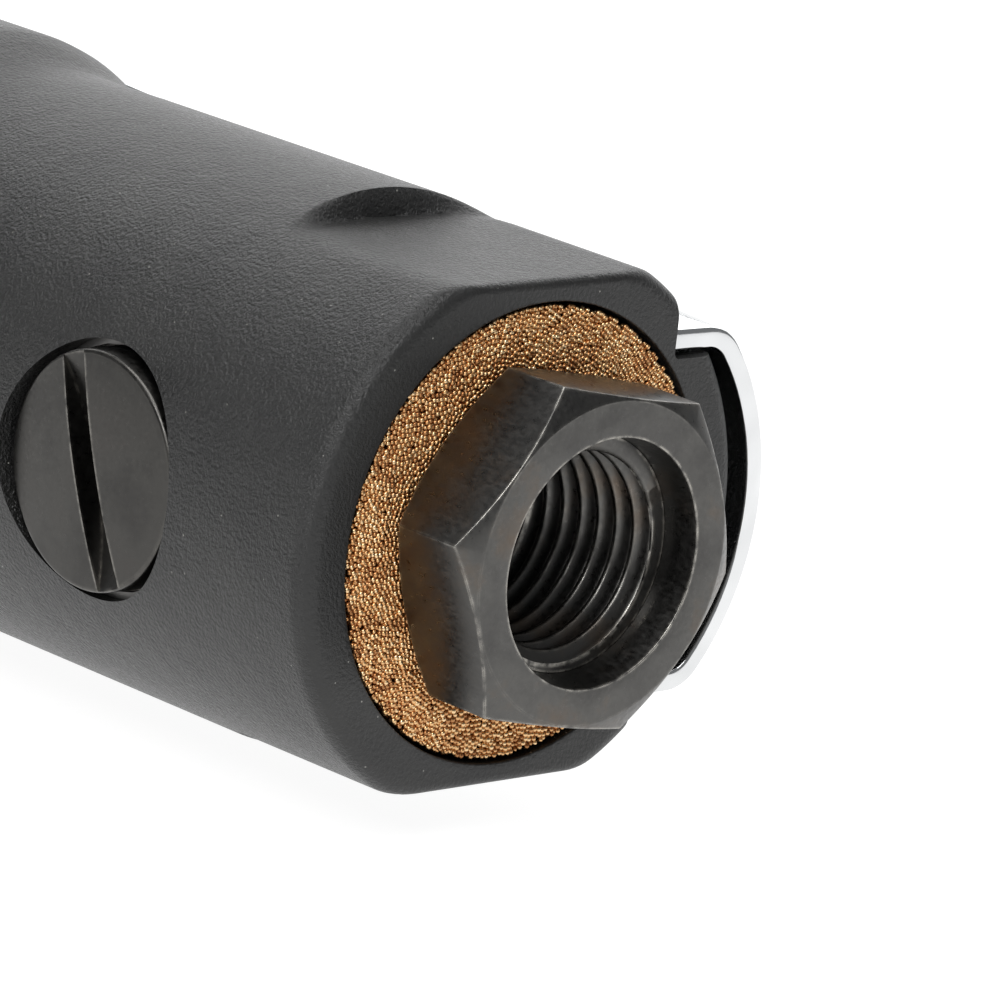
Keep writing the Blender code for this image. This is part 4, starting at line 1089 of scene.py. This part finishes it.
def lever_stations():
    """(x, trim) along the lever, with the thinner sections of the cut edges at both ends."""
    edge = [(0, 0.19), (0.035, 0.1), (0.1, 0.03), (0.2, 0)]  # distance from the end and trim, in mm
    start = [(LEVER_START_X + a * MM, b * MM) for a, b in edge]
    end = [(LEVER_END_X - a * MM, b * MM) for a, b in reversed(edge)]
    between = even(LEVER_START_X + 0.8 * MM, DEEP_END_X, 0.8 * MM) + even(DEEP_END_X, SHALLOW_X, 0.8 * MM)
    between += even(SHALLOW_X, LEVER_END_X - 0.8 * MM, 1.5 * MM)
    return start + [(x, 0) for x in between] + end


rings = [lever_ring(x, trim) for x, trim in lever_stations()]
print("points in each lever section:", sorted({len(ring) for ring in rings}))

# %% Lever mesh
bm = bmesh.new()
loops = [[bm.verts.new((-x, y, z)) for y, z in ring] for (x, _), ring in zip(lever_stations(), rings)]
count = len(loops[0])
for near, far in zip(loops, loops[1:]):
    for i in range(count):
        bm.faces.new((near[i], near[(i + 1) % count], far[(i + 1) % count], far[i]))
back_count = len(lever_half(LEVER_START_X, 0)) * 2 - 1
foot_count = (count - 2 * back_count) // 2
for loop in (loops[0], loops[-1]):
    inner = loop[back_count + foot_count:2 * back_count + foot_count][::-1]
    for i in range(back_count - 1):
        bm.faces.new((loop[i], loop[i + 1], inner[i + 1], inner[i]))
    bm.faces.new(loop[back_count - 1:back_count + foot_count + 1])
    bm.faces.new(loop[2 * back_count + foot_count - 1:] + [loop[0]])
lever = object_from("chromed_lever", bm, smooth_angle=math.radians(40))
cut(lever, prism(circle(hinge_r + 0.05 * MM, 40), -2 * LEVER_HALF, 2 * LEVER_HALF, "Z"), at=HINGE)
lever.data.shade_smooth()
lever.data.set_sharp_from_angle(angle=math.radians(40))
lever.data.materials.clear()
lever.data.materials.append(FINISHES["chromed_steel"])
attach(lever, "throttle_lever")
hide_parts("lever")
print("lever faces:", len(lever.data.polygons))

# %% [markdown]
# ## Floor and light
#
# The tool lies on a white sheet in a light tent. The sheet is big enough to fill the view, and most of
# its brightness is its own glow, as on a lit table, so hardly any shadow shows below the barrel. Four
# soft lamps light the tool. One hangs above. A long card and a box stand behind the tool, on the
# lever's side, and draw the broad grey band along the top of the black coat. A small key lamp in front
# lights the hexagon and the bronze beads, and the flank stays dark.

# %% Floor
FLOOR_HALF = 2.5
FLOOR_STEPS = 24
PAPER_FIBRE = 0.6 * MM
PAPER_GLOW = 0.93
bm = bmesh.new()
marks = [-FLOOR_HALF + 2 * FLOOR_HALF * i / FLOOR_STEPS for i in range(FLOOR_STEPS + 1)]
grid = [[bm.verts.new((x, y, housing_low.z)) for y in marks] for x in marks]
for i in range(FLOOR_STEPS):
    for j in range(FLOOR_STEPS):
        bm.faces.new((grid[i][j], grid[i + 1][j], grid[i + 1][j + 1], grid[i][j + 1]))
paper, tree, shader, place = new_material("white_paper")
fibre = add(tree, "ShaderNodeTexNoise", {"Vector": place, "Scale": per_metre(PAPER_FIBRE), "Detail": 3.0})
tone = add(tree, "ShaderNodeValToRGB", {"Fac": fibre.outputs["Fac"]}, [(0.3, "7a7a79"), (0.7, "828281")])
tree.links.new(tone.outputs["Color"], shader.inputs["Base Color"])
shader.inputs["Roughness"].default_value = 0.9
shader.inputs["Emission Color"].default_value = linear("ffffff")
shader.inputs["Emission Strength"].default_value = PAPER_GLOW
floor = object_from("floor", bm, paper)
floor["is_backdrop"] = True
print("floor at z =", round(housing_low.z / MM, 2), "mm")

# %% Lights
TENT_GLOW = 0.22
world = bpy.data.worlds.new("tent")
world.use_nodes = True
world.node_tree.nodes["Background"].inputs["Color"].default_value = linear("f4f6f8")
world.node_tree.nodes["Background"].inputs["Strength"].default_value = TENT_GLOW
bpy.context.scene.world = world


def soft_lamp(name, size, power, at, towards):
    """A rectangular lamp. Size and places are in metres, power is in watts."""
    lamp = bpy.data.lights.new(name, "AREA")
    lamp.shape = "RECTANGLE"
    lamp.size, lamp.size_y = size
    lamp.energy = power
    made = bpy.data.objects.new(name, lamp)
    made.location = at
    made.rotation_euler = (Vector(towards) - Vector(at)).to_track_quat("-Z", "Y").to_euler()
    bpy.context.scene.collection.objects.link(made)


soft_lamp("overhead", (0.7, 0.5), 4.0, (0.0, -0.1, 0.75), (0, 0, 0))
soft_lamp("back_card", (1.8, 0.36), 1.9, (-0.75, 0.75, 0.17), (0, 0, 0.17))
soft_lamp("back_box", (1.6, 0.5), 5.6, (-0.7, 0.7, 0.62), (0, 0, 0))
soft_lamp("key", (0.35, 0.35), 4.0, (0.35, -0.55, 0.55), (0, 0, 0))

# %% [markdown]
# ## Camera
#
# A long lens from some 40 cm keeps the round end face nearly a true ellipse. The camera is placed by the
# two angles under which it sees the tool, then rolled about its own line of sight.

# %% Camera
AIM = Vector((-1.5, -0.8, 1.67)) * MM
CAMERA_DISTANCE = 415.4 * MM
CAMERA_AZIMUTH = math.radians(45.33)
CAMERA_ELEVATION = math.radians(14.23)
CAMERA_ROLL = math.radians(6.83)
LENS_LENGTH = 266.1
FILM_WIDTH = 36.0

out = Vector((math.sin(CAMERA_AZIMUTH) * math.cos(CAMERA_ELEVATION),
              -math.cos(CAMERA_AZIMUTH) * math.cos(CAMERA_ELEVATION), math.sin(CAMERA_ELEVATION)))
level_right = Vector((0, 0, 1)).cross(out).normalized()
level_up = out.cross(level_right)
right = level_right * math.cos(CAMERA_ROLL) + level_up * math.sin(CAMERA_ROLL)
up = out.cross(right)
lens = bpy.data.cameras.new("camera")
lens.sensor_width = FILM_WIDTH
lens.lens = LENS_LENGTH
lens.clip_start = 0.02
lens.clip_end = 20.0
camera = bpy.data.objects.new("camera", lens)
camera.matrix_world = Matrix((right, up, out)).transposed().to_4x4()
camera.location = AIM + out * CAMERA_DISTANCE
bpy.context.scene.collection.objects.link(camera)
bpy.context.scene.camera = camera
bpy.context.scene.view_settings.view_transform = "Standard"
print("camera at", [round(v / MM, 1) for v in camera.location], "mm")

# %% [markdown]
# ## The two boxes, and the end
#
# The new surfaces must stay inside the box of the CAD model. Both boxes are written down so they can be
# compared.

# %% Write the two boxes and finish
visual_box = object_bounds()
for low, high in (CAD_BOX, visual_box):
    print("box", [round((b - a) / MM, 2) for a, b in zip(low, high)], "mm")
